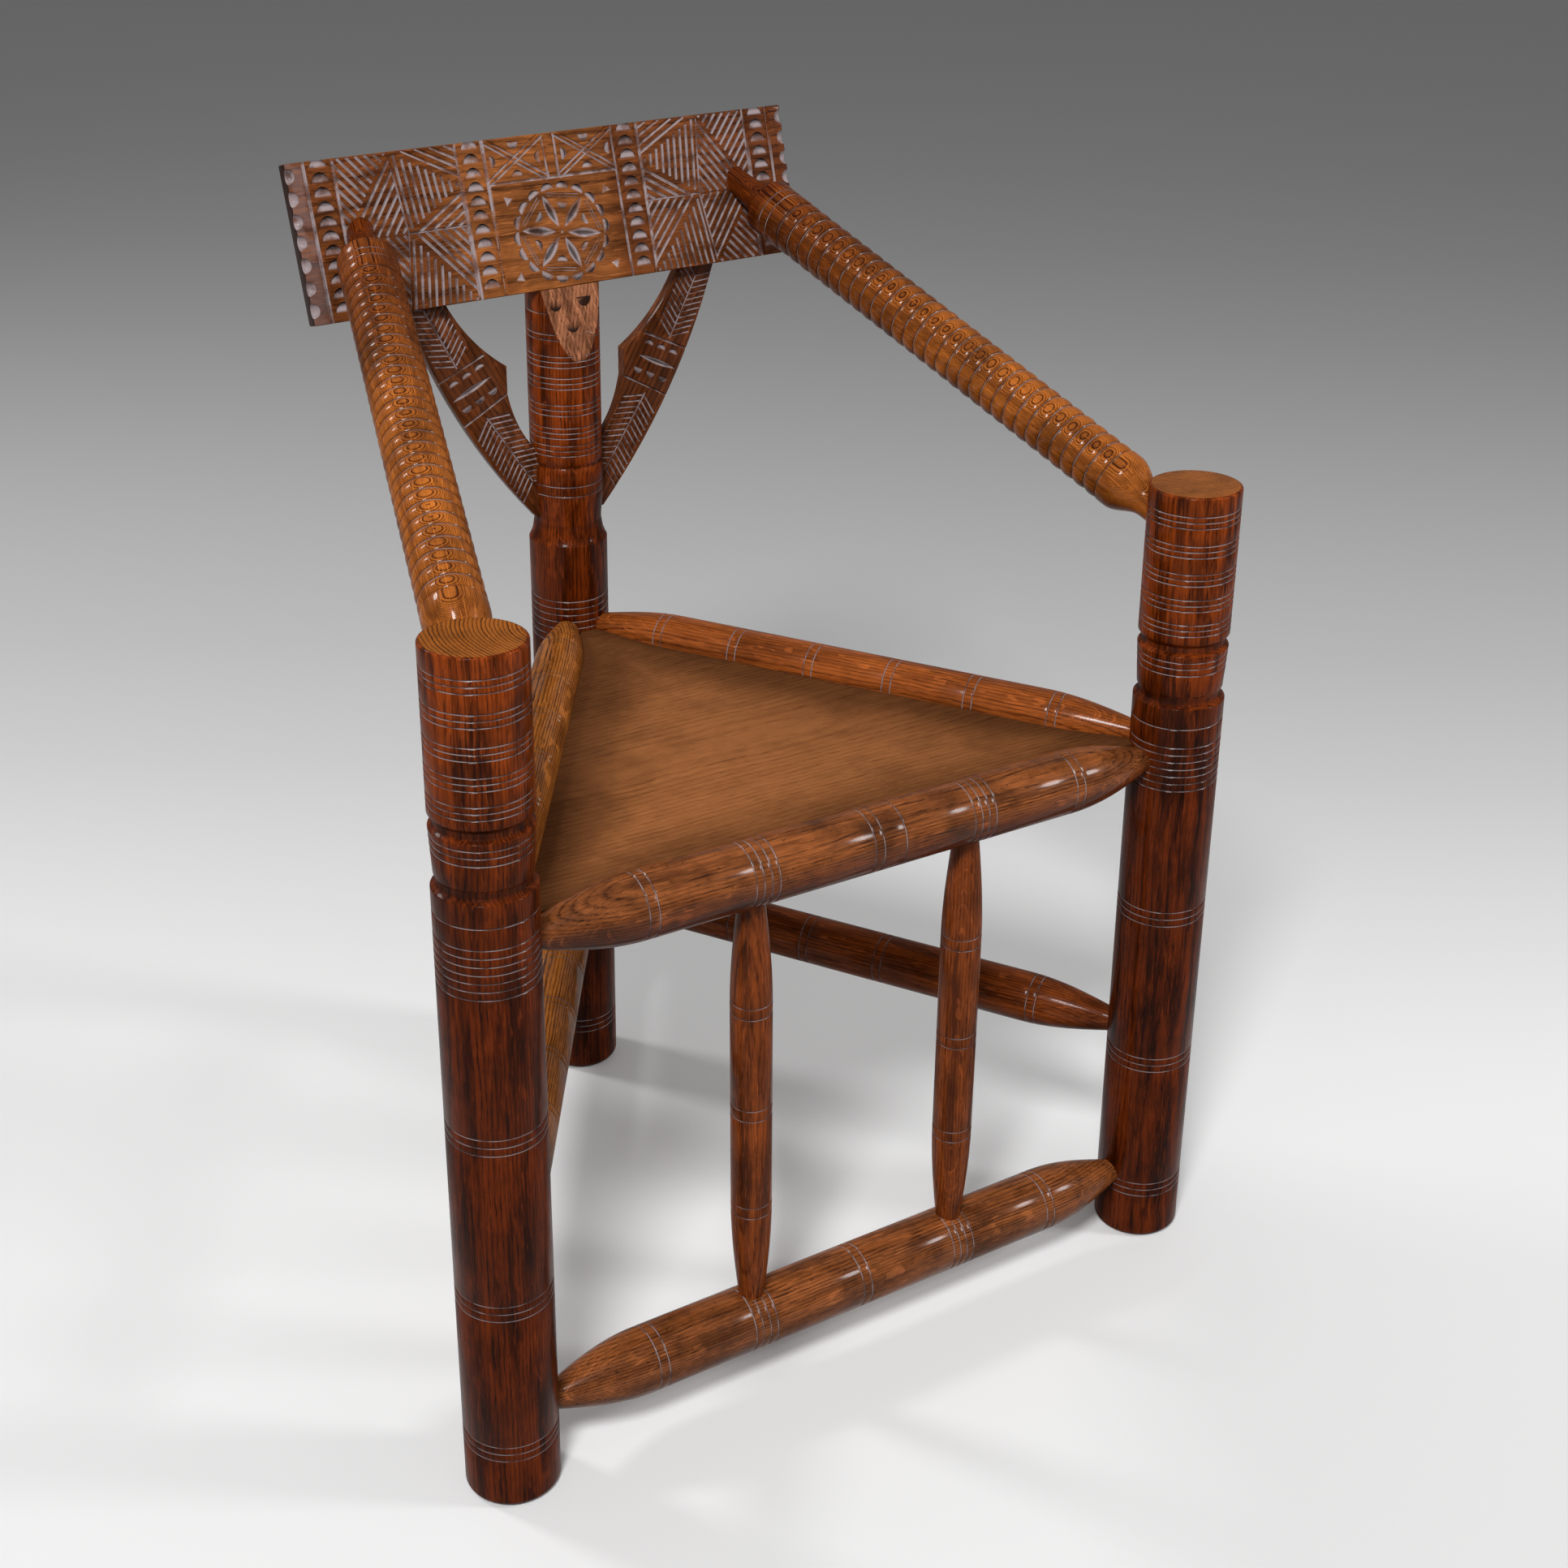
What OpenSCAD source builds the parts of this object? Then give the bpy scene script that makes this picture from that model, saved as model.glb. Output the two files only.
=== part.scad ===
// Turned three-post armchair with a triangular board seat: three heavy turned posts, cigar-shaped
// rails and stretchers socketed into them, two ringed arms and a leaning crest board on carved braces.
// Millimetres. +Z is up and the sitter faces -Y. The origin is on the floor, midway between the
// front of the front feet and the back of the back foot.

/* [Posts as set out] */
// Height of the two front posts
front_h = 640; // [620:1:665]
// Distance between the front posts' axes on the floor
spread_floor = 577.4; // [550:0.1:600]
// Distance between the front posts' axes at their tops
spread_top = 561.6; // [540:0.1:590]
// How far the top of a front post leans back
front_lean = 12.3; // [0:0.1:20]
// Distance from the front posts' axes back to the back post's axis on the floor
post_depth = 453.4; // [430:0.1:480]
// How far the back post leans forward for each metre of height
back_lean = 7.5; // [0:0.5:15]
// Air left round a tenon, tongue, peg or panel in its socket
fit = 0.15; // [0.1:0.01:0.25]

/* [Front posts] */
// Radius of the ringed barrel at the top
front_r = 33.4; // [31:0.1:36]
// Radius below the shoulder
front_low_r = 33.8; // [32:0.1:37]
// Length of the ringed barrel, down from the top
barrel_len = 111; // [106:0.5:114]
// Height of the notch between the barrel and the cup's rim
cup_gap = 9; // [7:0.5:12]
// Length of the cup between the two notches
cup_len = 33; // [28:0.5:35]
// Radius of the cup's rim
cup_r = 33.3; // [31.5:0.1:36]
// Radius at the lower end of the cup
cup_low_r = 31.5; // [30.5:0.1:32.5]
// Radius at the bottom of both notches
front_notch_r = 30; // [28:0.1:31]
// Height of the notch between the cup and the shoulder
shoulder_gap = 8.4; // [6:0.1:14]
// Rounding of the top rim
rim_round = 2; // [1:0.1:3]
// Rounding round the foot
front_foot_round = 3.5; // [2:0.1:6]

/* [Back post] */
// Radius of the upper barrel
back_r = 29.2; // [28:0.1:31]
// Radius below the shoulder
back_low_r = 32.1; // [31:0.1:35]
// Height of the ringed barrel's lower edge above the neck
back_vase_run = 50; // [45:0.1:56]
// Radius of the long vase under the barrel
back_vase_r = 30; // [28.5:0.1:31]
// Radius in the neck under the vase
back_neck_r = 27.5; // [25:0.1:28]
// Height of the neck above the shoulder's edge
back_neck_gap = 11.8; // [9:0.1:14]
// Height of the shoulder's edge above the front rail's axis
back_shoulder_up = 90; // [82:0.5:94]
// Slope height of the shoulder
back_shoulder_len = 6; // [3:0.5:8]
// Depth of the post's top below the top edge of the crest board
back_top_drop = 30; // [25:1:45]
// Height over which the planed facet runs out below the crest board
facet_len = 57; // [45:1:65]
// Rounding round the foot
back_foot_round = 8; // [4:0.5:10]

/* [Ring lines] */
// Width of a ring line
cut_w = 1.5; // [1:0.1:2]
// Depth of a ring line
cut_d = 0.7; // [0.4:0.1:1]
// Distance between the lines of a group of three high on a front post
line_gap = 4.3; // [3.5:0.1:5]
// Distance between the lines of a group of three low on a post
low_line_gap = 6; // [5:0.1:8]
// Distance between the seven lines at seat height
seat_line_gap = 5.9; // [5:0.1:6.2]
// Half the distance between a pair of lines on a rail
pair_half = 3.6; // [2.5:0.1:5]
// Distance between the four lines above and below a spindle
quad_gap = 6.2; // [4.5:0.1:7.5]
// Distance from the front rail's middle to its outer pairs of lines
front_pair_at = 176; // [140:1:180]
// Distance between the pairs of lines on a side rail
side_pair_step = 68; // [55:1:70]
// Distance between the pairs of lines on a spindle
spindle_pair_step = 84; // [60:1:95]
// Half the distance between a pair of lines on a spindle
spindle_pair_half = 4.4; // [3:0.1:6]

/* [Seat rails] */
// Depth of the front seat rail's axis below the tops of the front posts
front_rail_drop = 210; // [200:0.5:220]
// Radius of the front seat rail
front_rail_r = 23.5; // [21:0.1:26]
// Height of the side seat rails' axes above the front rail's
side_rail_up = 8.4; // [6:0.1:10]
// Radius of the side seat rails
side_rail_r = 19.6; // [17.5:0.1:22]
// Radius of a rail's end, where it goes into a post
rail_end_r = 10; // [8:0.1:11]
// Length over which a rail swells from its end
rail_taper = 72; // [50:1:90]
// Least wood between neighbouring sockets in a post
socket_web = 1; // [0.5:0.1:2]

/* [Seat] */
// Height of the seat's top face above the front rail's axis
seat_up = 8; // [6:0.5:10]
// Thickness of the seat board
seat_t = 10; // [8:0.5:12]
// Distance of the seat board's edge inside a rail's axis
seat_inset = 12; // [10:0.5:14]

/* [Stretchers and spindles] */
// Height of the front stretcher's axis
front_stretcher_z = 54.5; // [50:0.5:80]
// Radius of the front stretcher
front_stretcher_r = 24.4; // [20:0.1:26]
// Height of a side stretcher's axis on a front post's axis
side_stretcher_front_z = 181.4; // [178:0.1:220]
// Height of a side stretcher's axis on the back post's axis
side_stretcher_back_z = 186.6; // [178:0.1:220]
// Radius of the side stretchers
side_stretcher_r = 20.7; // [18:0.1:23]
// Distance of a spindle from the middle of the chair
spindle_x = 90; // [70:1:110]
// Radius of a spindle
spindle_r = 15; // [12:0.1:17]
// Radius of a spindle's end
spindle_end_r = 9.7; // [8:0.1:10.5]
// Length over which a spindle swells from its end
spindle_taper = 80; // [50:1:95]
// Depth of a spindle's end in its rail
spindle_seat = 12; // [8:0.5:13]

/* [Arms] */
// Depth of an arm's axis below the top, on a front post's axis
arm_drop = 38.4; // [32:0.1:45]
// Distance from the middle of the chair to where an arm's axis meets the crest board's face
arm_crest_x = 163.5; // [150:0.1:175]
// How far above the board's middle that place is, up the face
arm_crest_up = 0.9; // [-8:0.1:8]
// Radius of an arm
arm_r = 22; // [19:0.1:24]
// Radius of an arm's tenon in the front post
arm_tenon_r = 12.2; // [10:0.1:13]
// Depth of that tenon, along the arm
arm_tenon_len = 16; // [12:0.5:20]
// Length of the turned swell between tenon and full radius
arm_swell_len = 27; // [20:0.5:34]
// Plain length between the swell and the first bead
arm_plain_len = 8; // [4:0.5:14]
// Number of beads on an arm
arm_beads = 29; // [24:1:32]
// Depth of the grooves between the beads
bead_d = 2; // [1:0.1:2.5]
// Length of the plain band above the beads
arm_band_len = 34; // [25:0.5:40]
// Length of the nose between the band and the board's face
arm_nose_len = 33; // [30:0.5:40]
// Radius of the nose
arm_nose_r = 10.3; // [8:0.1:12]

/* [Crest board] */
// Width of the crest board
crest_w = 421.6; // [390:0.1:440]
// Height of the crest board, up its face
crest_hgt = 115.6; // [105:0.1:125]
// Thickness of the crest board
crest_t = 13.5; // [11:0.1:16]
// Height of the middle of the board's face above the front rail's axis
crest_up = 348.6; // [340:0.1:360]
// Distance of the middle of the face behind the back post's axis
crest_set = 0.6; // [-1:0.1:2]
// Backward lean of the board
crest_lean = 14.6; // [12:0.1:17]
// Turn of the board in its own plane, with the +X end higher
crest_roll = 1.5; // [0:0.1:2]
// Radius of the pegs between back post and board
crest_peg_r = 4; // [3:0.1:5]
// Depth of all pegs in the board
peg_depth = 8.5; // [6:0.5:10]
// Height of the lower crest peg above the board's lower edge
crest_peg_up = 20; // [14:0.5:26]
// Distance between the two crest pegs
crest_peg_step = 40; // [30:0.5:44]
// Radius of the pegs between brace and board
brace_peg_r = 2.5; // [2:0.1:3]
// Height of the brace pegs above the board's lower edge
brace_peg_up = 8; // [6:0.5:10]

/* [Braces] */
// Thickness of the brace boards
brace_t = 11; // [9:0.1:12]
// Distance of a brace's front face in front of the back post's axis
brace_set = 5.8; // [5:0.1:6.5]
// Length of the brace's tongue inside the back post
brace_tongue = 14; // [10:0.5:16]
// Height of the tongue's lower edge above the front rail's axis
brace_low_up = 105; // [102:0.5:110]
// Height of the tongue
brace_root_h = 59; // [52:0.5:62]
// Outward reach of a brace at the crest board's lower edge
brace_reach = 135; // [125:0.5:145]
// Width of a brace at the crest board's lower edge, measured level
brace_top_w = 32; // [28:0.5:36]
// How far a brace runs up behind the crest board
brace_lap = 25; // [18:0.5:28]
// Distance of the knuckle's flat from the middle of the chair
knuckle_x = 52; // [46:0.5:58]
// Height of the knuckle's flat above the tongue's lower edge
knuckle_up = 106; // [101:0.5:113]
// Length of the knuckle's flat
knuckle_len = 22.5; // [16:0.5:26]

/* [Hidden] */
$fn = 96;
LEFT = -1;
RIGHT = 1;
// Depths of the ring groups on a front post's barrel, as shares of its length, and heights of the
// other groups above the edge that carries them
front_triples = [0.1667, 0.3622, 0.5532, 0.7288, 0.9009];
low_triples = [46.6, 168.1, 301.6];
back_triples = [11.7, 26.4, 45.2, 67, 84.4];
back_pair_up = 104;
back_single_up = 122.4;
cup_lines = [5.4, 10.3, 15.7];
vase_lines = [18.3, 26.6, 30.8];
single_line_share = 0.476;
back_seven_up = 8.8;
front_seven_down = 0.6;
faint_line_at = 22;
// Small lengths that give the notches and beads their shape
notch_up = 3;
cup_notch_up = 4.4;
vase_len = 22;
band_line_half = 4;
// Shape of a bead, as places along it, and how sharply it falls to the grooves beside it
bead_places = [0, 0.12, 0.3, 0.7, 0.88];
bead_power = 6;
// How far the sweep of a brace's three curves stands off their chords, and the slopes of its lap
bow_outer = [21, -8];
bow_inner = [8, -7];
bow_low = [5, -6];
lap_slope_outer = 0.2;
lap_slope_inner = 0.45;
root_clear = 0.5;
curve_steps = 8;
foot_trim = 2;
foot_clear = 1.5;
arris_steps = 3;
taper_steps = 6;
half_seven = 3;
seam_turn = 40;
big = 400;

// Heights above the floor
front_rail_z = front_h - front_rail_drop;
side_rail_z = front_rail_z + side_rail_up;
seat_top = front_rail_z + seat_up;
arm_z = front_h - arm_drop;
back_shoulder_z = front_rail_z + back_shoulder_up;
back_neck_z = back_shoulder_z + back_neck_gap;
back_barrel_z = back_neck_z + back_vase_run;
crest_z = front_rail_z + crest_up;
brace_low_z = front_rail_z + brace_low_up;
brace_high_z = brace_low_z + brace_root_h;

edge = cut_w / 2;
y_front = -(post_depth + back_low_r - front_low_r) / 2;
y_back = y_front + post_depth;
crest_y = y_back - back_lean * crest_z / 1000 + crest_set;
crest_low_z = crest_z - crest_hgt / 2 * cos(crest_lean);
back_h = crest_z + crest_hgt / 2 * cos(crest_lean) - back_top_drop;

// Points on the posts' axes at a height
function front_at(side, z) = [
    side * (spread_floor + (spread_top - spread_floor) * z / front_h) / 2,
    y_front + front_lean * z / front_h,
    z
];
function back_at(z) = [0, y_back - back_lean * z / 1000, z];

// A place on the crest board's face from its middle: across, up the face and out of the face,
// before the board is turned in its own plane
function crest_at(across, up, out) = [
    across,
    crest_y + up * sin(crest_lean) - out * cos(crest_lean),
    crest_z + up * cos(crest_lean) + out * sin(crest_lean)
];

// Places along a turned piece, sorted, and the outline through them with a V cut at each ring line
function sorted(v) = len(v) < 2 ? v : concat(
    sorted([for (i = [1:len(v) - 1]) if (v[i][1] < v[0][1]) v[i]]),
    [v[0]],
    sorted([for (i = [1:len(v) - 1]) if (v[i][1] >= v[0][1]) v[i]])
);
function clear_of(z, lines) = len([for (g = lines) if (abs(g - z) < cut_w) 1]) == 0;
function line_cuts(lines, rf) = [
    for (g = lines) each [[rf(g - edge), g - edge], [rf(g) - cut_d, g], [rf(g + edge), g + edge]]
];
function outline(places, lines, rf) = sorted(concat(
    [for (z = places) if (clear_of(z, lines)) [rf(z), z]],
    line_cuts(lines, rf)
));
function group(middle, gap, half) = [for (i = [-half:half]) middle + i * gap];
function steady(r) = function (z) r;
function slope(z0, r0, z1, r1) = function (z) r0 + (r1 - r0) * (z - z0) / (z1 - z0);

// Edge of a foot: a cone that the floor cuts at any lean of the post, rounded off above it
function foot_arris(r, e) = concat(
    [[r - e + e * sin(45) - foot_clear - foot_trim, -foot_trim]],
    [for (i = [0:arris_steps]) let (a = 45 + 45 * i / arris_steps) [r - e + e * sin(a), foot_clear + e * (cos(45) - cos(a))]]
);
// Rounded upper edge of a turned piece
function high_arris(r, z, e) = [
    for (i = [0:arris_steps]) let (a = 90 * i / arris_steps) [r - e + e * cos(a), z - e + e * sin(a)]
];

// Turns an outline, sets a piece between two points and levels a foot with the floor. The start
// of a turned surface is kept clear of the side to which a leaning post is cut lowest
module revolve(points) {
    rotate([0, 0, seam_turn]) rotate_extrude() polygon(points);
}
module along(p, q) {
    d = q - p;
    translate(p) rotate([0, acos(d[2] / norm(d)), atan2(d[1], d[0])]) children();
}
module floor_cut() {
    translate([-big, -big, -big]) cube([2 * big, 2 * big, big]);
}

// A cigar-shaped member. from and to are the ends of its axis on the two axes that it joins,
// skin_a and skin_b how far the wood of those reaches along it, seat_a and seat_b its end depths
function swell(x, a, b, taper, mid, end_r) =
    let (s = max(0, min(x - a, b - x)) / taper)
    s >= 1 ? mid : end_r + (mid - end_r) * sin(90 * s);
function cigar(len, skin_a, skin_b, deep_a, deep_b, mid, end_r, taper, lines) =
    let (
        rf = function (x) swell(x, skin_a, len - skin_b, taper, mid, end_r),
        places = concat(
            [skin_a - deep_a],
            [for (i = [0:taper_steps]) skin_a + taper * i / taper_steps],
            [for (i = [0:taper_steps]) len - skin_b - taper * i / taper_steps],
            [len - skin_b + deep_b]
        ),
        body = outline(places, [for (g = lines) len / 2 + g], rf)
    )
    concat([[0, skin_a - deep_a]], body, [[0, len - skin_b + deep_b]]);

// Depth of a rail's end in a post, so that two sockets that meet at an angle keep some wood between
rail_run = [spread_floor / 2, post_depth];
front_angle = atan2(rail_run[1], rail_run[0]);
back_angle = 2 * atan2(rail_run[0], rail_run[1]);
socket_r = rail_end_r + fit;
front_stop = (socket_r + socket_web / 2) / sin(front_angle / 2);
back_stop = (socket_r + socket_web / 2) / sin(back_angle / 2);

module member(p, q, skin_a, skin_b, stop_a, stop_b, mid, lines) {
    along(p, q) revolve(cigar(norm(q - p), skin_a, skin_b, skin_a - stop_a, skin_b - stop_b,
        mid, rail_end_r, rail_taper, lines));
}
module socket(p, q, stop) {
    along(p, q) translate([0, 0, stop - fit]) cylinder(r = socket_r, h = 3 * front_low_r);
}

// Ring lines of the rails, from the middle
front_rail_lines = concat(
    [-front_pair_at - pair_half, -front_pair_at + pair_half],
    [for (s = [LEFT, RIGHT]) for (i = [-1.5:1:1.5]) s * spindle_x + i * quad_gap],
    [-pair_half, pair_half],
    [front_pair_at - pair_half, front_pair_at + pair_half]
);
side_rail_lines = [
    for (i = [-2.5:1:2.5]) for (s = [-pair_half, pair_half]) i * side_pair_step + s
];
spindle_lines = [
    for (i = [-1:1:1]) for (s = [-spindle_pair_half, spindle_pair_half]) i * spindle_pair_step + s
];

// Front posts
front_barrel_z = front_h - barrel_len;
cup_top = front_barrel_z - cup_gap;
cup_low = cup_top - cup_len;
front_shoulder_z = cup_low - shoulder_gap;
front_outline =
    let (
        cup = slope(cup_low, cup_low_r, cup_top, cup_r),
        seven_top = front_rail_z - front_seven_down + half_seven * seat_line_gap,
        low_lines = concat(
            [for (z = low_triples) each group(z, low_line_gap, 1)],
            group(front_rail_z - front_seven_down, seat_line_gap, half_seven),
            [seven_top + single_line_share * (front_shoulder_z - seven_top)]
        )
    )
    concat(
        [[0, -foot_trim]],
        foot_arris(front_low_r, front_foot_round),
        line_cuts(low_lines, steady(front_low_r)),
        [[front_low_r, front_shoulder_z], [front_notch_r, front_shoulder_z + cup_notch_up / 2]],
        [[front_notch_r, cup_low - cup_notch_up / 2], [cup_low_r, cup_low]],
        line_cuts([for (i = [2:-1:0]) cup_top - cup_lines[i]], cup),
        [[cup_r, cup_top], [front_notch_r, front_barrel_z - notch_up], [front_r, front_barrel_z]],
        line_cuts([for (i = [4:-1:0]) each group(front_h - front_triples[i] * barrel_len, line_gap, 1)],
            steady(front_r)),
        high_arris(front_r, front_h, rim_round),
        [[0, front_h]]
    );

module front_post(side) {
    color([0.30, 0.12, 0.06])
    difference() {
        along(front_at(side, 0), front_at(side, front_h)) revolve(front_outline);
        floor_cut();
        socket(front_at(side, front_rail_z), front_at(-side, front_rail_z), front_stop);
        socket(front_at(side, side_rail_z), back_at(side_rail_z), front_stop);
        socket(front_at(side, front_stretcher_z), front_at(-side, front_stretcher_z), front_stop);
        socket(front_at(side, side_stretcher_front_z), back_at(side_stretcher_back_z), front_stop);
        along(arm_foot(side), arm_head(side)) translate([0, 0, arm_start(side) - fit])
            cylinder(r = arm_tenon_r + fit, h = 3 * front_r);
    }
}
module front_post_left() {
    front_post(LEFT);
}
module front_post_right() {
    front_post(RIGHT);
}

// Back post, notched for the leaning board, planed flat below it and mortised for the braces
back_notch_r = back_r - cut_w;
back_outline =
    let (
        low_lines = concat(
            [for (z = low_triples) each group(z, low_line_gap, 1)],
            group(side_rail_z + back_seven_up, seat_line_gap, half_seven)
        ),
        vase_top = back_barrel_z - notch_up,
        vase = slope(back_neck_z, back_neck_r, back_barrel_z - vase_len, back_vase_r),
        top_lines = concat(
            [for (u = back_triples) each group(back_barrel_z + u, line_gap, 1)],
            [back_barrel_z + back_pair_up - line_gap / 2, back_barrel_z + back_pair_up + line_gap / 2],
            [back_barrel_z + back_single_up]
        )
    )
    concat(
        [[0, -foot_trim]],
        foot_arris(back_low_r, back_foot_round),
        line_cuts(low_lines, steady(back_low_r)),
        [[back_low_r, back_shoulder_z - back_shoulder_len], [back_neck_r + cut_w, back_shoulder_z]],
        [[back_neck_r, back_neck_z - notch_up], [back_neck_r, back_neck_z]],
        line_cuts([for (i = [2:-1:1]) back_barrel_z - vase_lines[i]], vase),
        [[vase(back_barrel_z - vase_len), back_barrel_z - vase_len], [back_vase_r, vase_top - vase_len / 4]],
        [[back_notch_r, vase_top], [back_r, back_barrel_z]],
        line_cuts(top_lines, steady(back_r)),
        high_arris(back_r, back_h, rim_round),
        [[0, back_h]]
    );

// The space of the crest board, grown by a gap, open to the front or not
module crest_frame() {
    translate(crest_at(0, 0, 0)) rotate([-crest_lean, 0, 0]) rotate([0, -crest_roll, 0]) children();
}
module crest_blank(gap, front) {
    crest_frame() translate([-crest_w / 2 - gap, -gap - front, -crest_hgt / 2 - gap])
        cube([crest_w + 2 * gap, crest_t + 2 * gap + front, crest_hgt + 2 * gap + front]);
}
module facet_cut() {
    top = crest_at(0, -crest_hgt / 2, 0);
    low_z = top[2] - facet_len;
    low = back_at(low_z)[1] - back_r;
    translate([0, top[1], top[2]]) rotate([-atan2(top[1] - low, facet_len), 0, 0])
        translate([-back_low_r, -2 * back_low_r, -2 * facet_len])
        cube([2 * back_low_r, 2 * back_low_r, 3 * facet_len]);
}
module back_blank() {
    along(back_at(0), back_at(back_h)) revolve(back_outline);
}
module back_post() {
    color([0.27, 0.11, 0.06])
    difference() {
        back_blank();
        floor_cut();
        crest_blank(fit, 3 * back_r);
        facet_cut();
        for (side = [LEFT, RIGHT]) {
            socket(back_at(side_rail_z), front_at(side, side_rail_z), back_stop);
            socket(back_at(side_stretcher_back_z), front_at(side, side_stretcher_front_z), back_stop);
            brace_space(side);
        }
        crest_peg_shafts(crest_peg_r + fit, peg_depth);
    }
}

// Seat rails and stretchers
module front_seat_rail() {
    color([0.38, 0.19, 0.09])
    difference() {
        member(front_at(LEFT, front_rail_z), front_at(RIGHT, front_rail_z), front_low_r, front_low_r,
            front_stop, front_stop, front_rail_r, concat(front_rail_lines, [faint_line_at]));
        seat_blank(fit);
        for (side = [LEFT, RIGHT]) spindle_hole(side);
    }
}
module side_seat_rail(side) {
    color([0.36, 0.15, 0.07])
    difference() {
        member(front_at(side, side_rail_z), back_at(side_rail_z), front_low_r, back_low_r,
            front_stop, back_stop, side_rail_r, side_rail_lines);
        seat_blank(fit);
    }
}
module left_seat_rail() {
    side_seat_rail(LEFT);
}
module right_seat_rail() {
    side_seat_rail(RIGHT);
}
module front_stretcher() {
    color([0.37, 0.19, 0.09])
    difference() {
        member(front_at(LEFT, front_stretcher_z), front_at(RIGHT, front_stretcher_z), front_low_r,
            front_low_r, front_stop, front_stop, front_stretcher_r, front_rail_lines);
        for (side = [LEFT, RIGHT]) spindle_hole(side);
    }
}
module side_stretcher(side) {
    color([0.42, 0.20, 0.08])
    member(front_at(side, side_stretcher_front_z), back_at(side_stretcher_back_z), front_low_r, back_low_r,
        front_stop, back_stop, side_stretcher_r, side_rail_lines);
}
module left_stretcher() {
    side_stretcher(LEFT);
}
module right_stretcher() {
    side_stretcher(RIGHT);
}

// Spindles between the front stretcher and the front seat rail
function level_front(z) = front_at(RIGHT, z)[1];
function spindle_foot(side) = [side * spindle_x, level_front(front_stretcher_z), front_stretcher_z];
function spindle_head(side) = [side * spindle_x, level_front(front_rail_z), front_rail_z];
module spindle(side) {
    color([0.32, 0.13, 0.07])
    along(spindle_foot(side), spindle_head(side))
        revolve(cigar(norm(spindle_head(side) - spindle_foot(side)), front_stretcher_r, front_rail_r,
            spindle_seat, spindle_seat, spindle_r, spindle_end_r, spindle_taper, spindle_lines));
}
module spindle_hole(side) {
    run = norm(spindle_head(side) - spindle_foot(side));
    low = front_stretcher_r - spindle_seat - fit;
    high = run - front_rail_r + spindle_seat + fit;
    along(spindle_foot(side), spindle_head(side)) translate([0, 0, low])
        cylinder(r = spindle_end_r + fit, h = high - low);
}
module left_spindle() {
    spindle(LEFT);
}
module right_spindle() {
    spindle(RIGHT);
}

// Seat board: a triangle whose edges lie inside the rails' axes, cut round the posts
function cross2(a, b) = a[0] * b[1] - a[1] * b[0];
function meet(p, u, q, v) = p + u * cross2(q - p, v) / cross2(u, v);
function flat(p) = [p[0], p[1]];
module seat_blank(gap) {
    corners = [front_at(LEFT, seat_top), front_at(RIGHT, seat_top), back_at(seat_top)];
    runs = [for (i = [0:2]) flat(corners[(i + 1) % 3] - corners[i]) / norm(flat(corners[(i + 1) % 3] - corners[i]))];
    starts = [for (i = [0:2]) flat(corners[i]) + (seat_inset - gap) * [-runs[i][1], runs[i][0]]];
    translate([0, 0, seat_top - seat_t - gap]) linear_extrude(seat_t + 2 * gap)
        polygon([for (i = [0:2]) meet(starts[i], runs[i], starts[(i + 1) % 3], runs[(i + 1) % 3])]);
}
module seat_board() {
    color([0.40, 0.23, 0.12])
    difference() {
        seat_blank(0);
        for (side = [LEFT, RIGHT])
            along(front_at(side, 0), front_at(side, front_h)) cylinder(r = front_low_r + fit, h = front_h);
        along(back_at(0), back_at(back_h)) cylinder(r = back_low_r + fit, h = back_h);
    }
}

// Arms: tenon, swell, beads, band and nose, from the front post's axis to the board's back
function arm_foot(side) = front_at(side, arm_z);
function arm_head(side) = crest_at(
    side * arm_crest_x * cos(crest_roll) - arm_crest_up * sin(crest_roll),
    side * arm_crest_x * sin(crest_roll) + arm_crest_up * cos(crest_roll),
    0
);
function arm_run(side) = norm(arm_head(side) - arm_foot(side));
function arm_rise(side) = asin((arm_head(side) - arm_foot(side))[2] / arm_run(side));
function arm_skin(side) = (front_r + arm_tenon_r * sin(arm_rise(side))) / cos(arm_rise(side));
function arm_start(side) = arm_skin(side) - arm_tenon_len;
function arm_outline(side) =
    let (
        beads_from = arm_skin(side) + arm_swell_len + arm_plain_len,
        band_top = arm_run(side) - arm_nose_len,
        beads_to = band_top - arm_band_len,
        bead_pitch = (beads_to - beads_from) / arm_beads,
        swell_at = function (f) arm_tenon_r + (arm_r - arm_tenon_r) * (1 - cos(180 * f)) / 2,
        bead_at = function (f) arm_r - bead_d * pow(abs(2 * f - 1), bead_power),
        band_mid = (beads_to + band_top) / 2
    )
    concat(
        [[0, arm_start(side)], [arm_tenon_r, arm_start(side)]],
        [for (i = [0:taper_steps])
            [swell_at(i / taper_steps), arm_skin(side) + arm_swell_len * i / taper_steps]],
        [[arm_r, beads_from - edge]],
        [for (k = [0:arm_beads - 1]) for (f = bead_places) [bead_at(f), beads_from + (k + f) * bead_pitch]],
        [[arm_r - bead_d, beads_to], [arm_r, beads_to + edge]],
        line_cuts([band_mid - band_line_half, band_mid + band_line_half], steady(arm_r)),
        high_arris(arm_r, band_top, rim_round),
        [[arm_nose_r, band_top], [arm_nose_r, arm_run(side) + 4 * crest_t], [0, arm_run(side) + 4 * crest_t]]
    );
module arm(side) {
    reach = 2 * arm_run(side);
    color([0.50, 0.24, 0.08])
    intersection() {
        along(arm_foot(side), arm_head(side)) revolve(arm_outline(side));
        crest_frame() translate([-crest_w, -reach, -reach]) cube([2 * crest_w, reach + crest_t, 2 * reach]);
    }
}
module left_arm() {
    arm(LEFT);
}
module right_arm() {
    arm(RIGHT);
}

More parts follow.
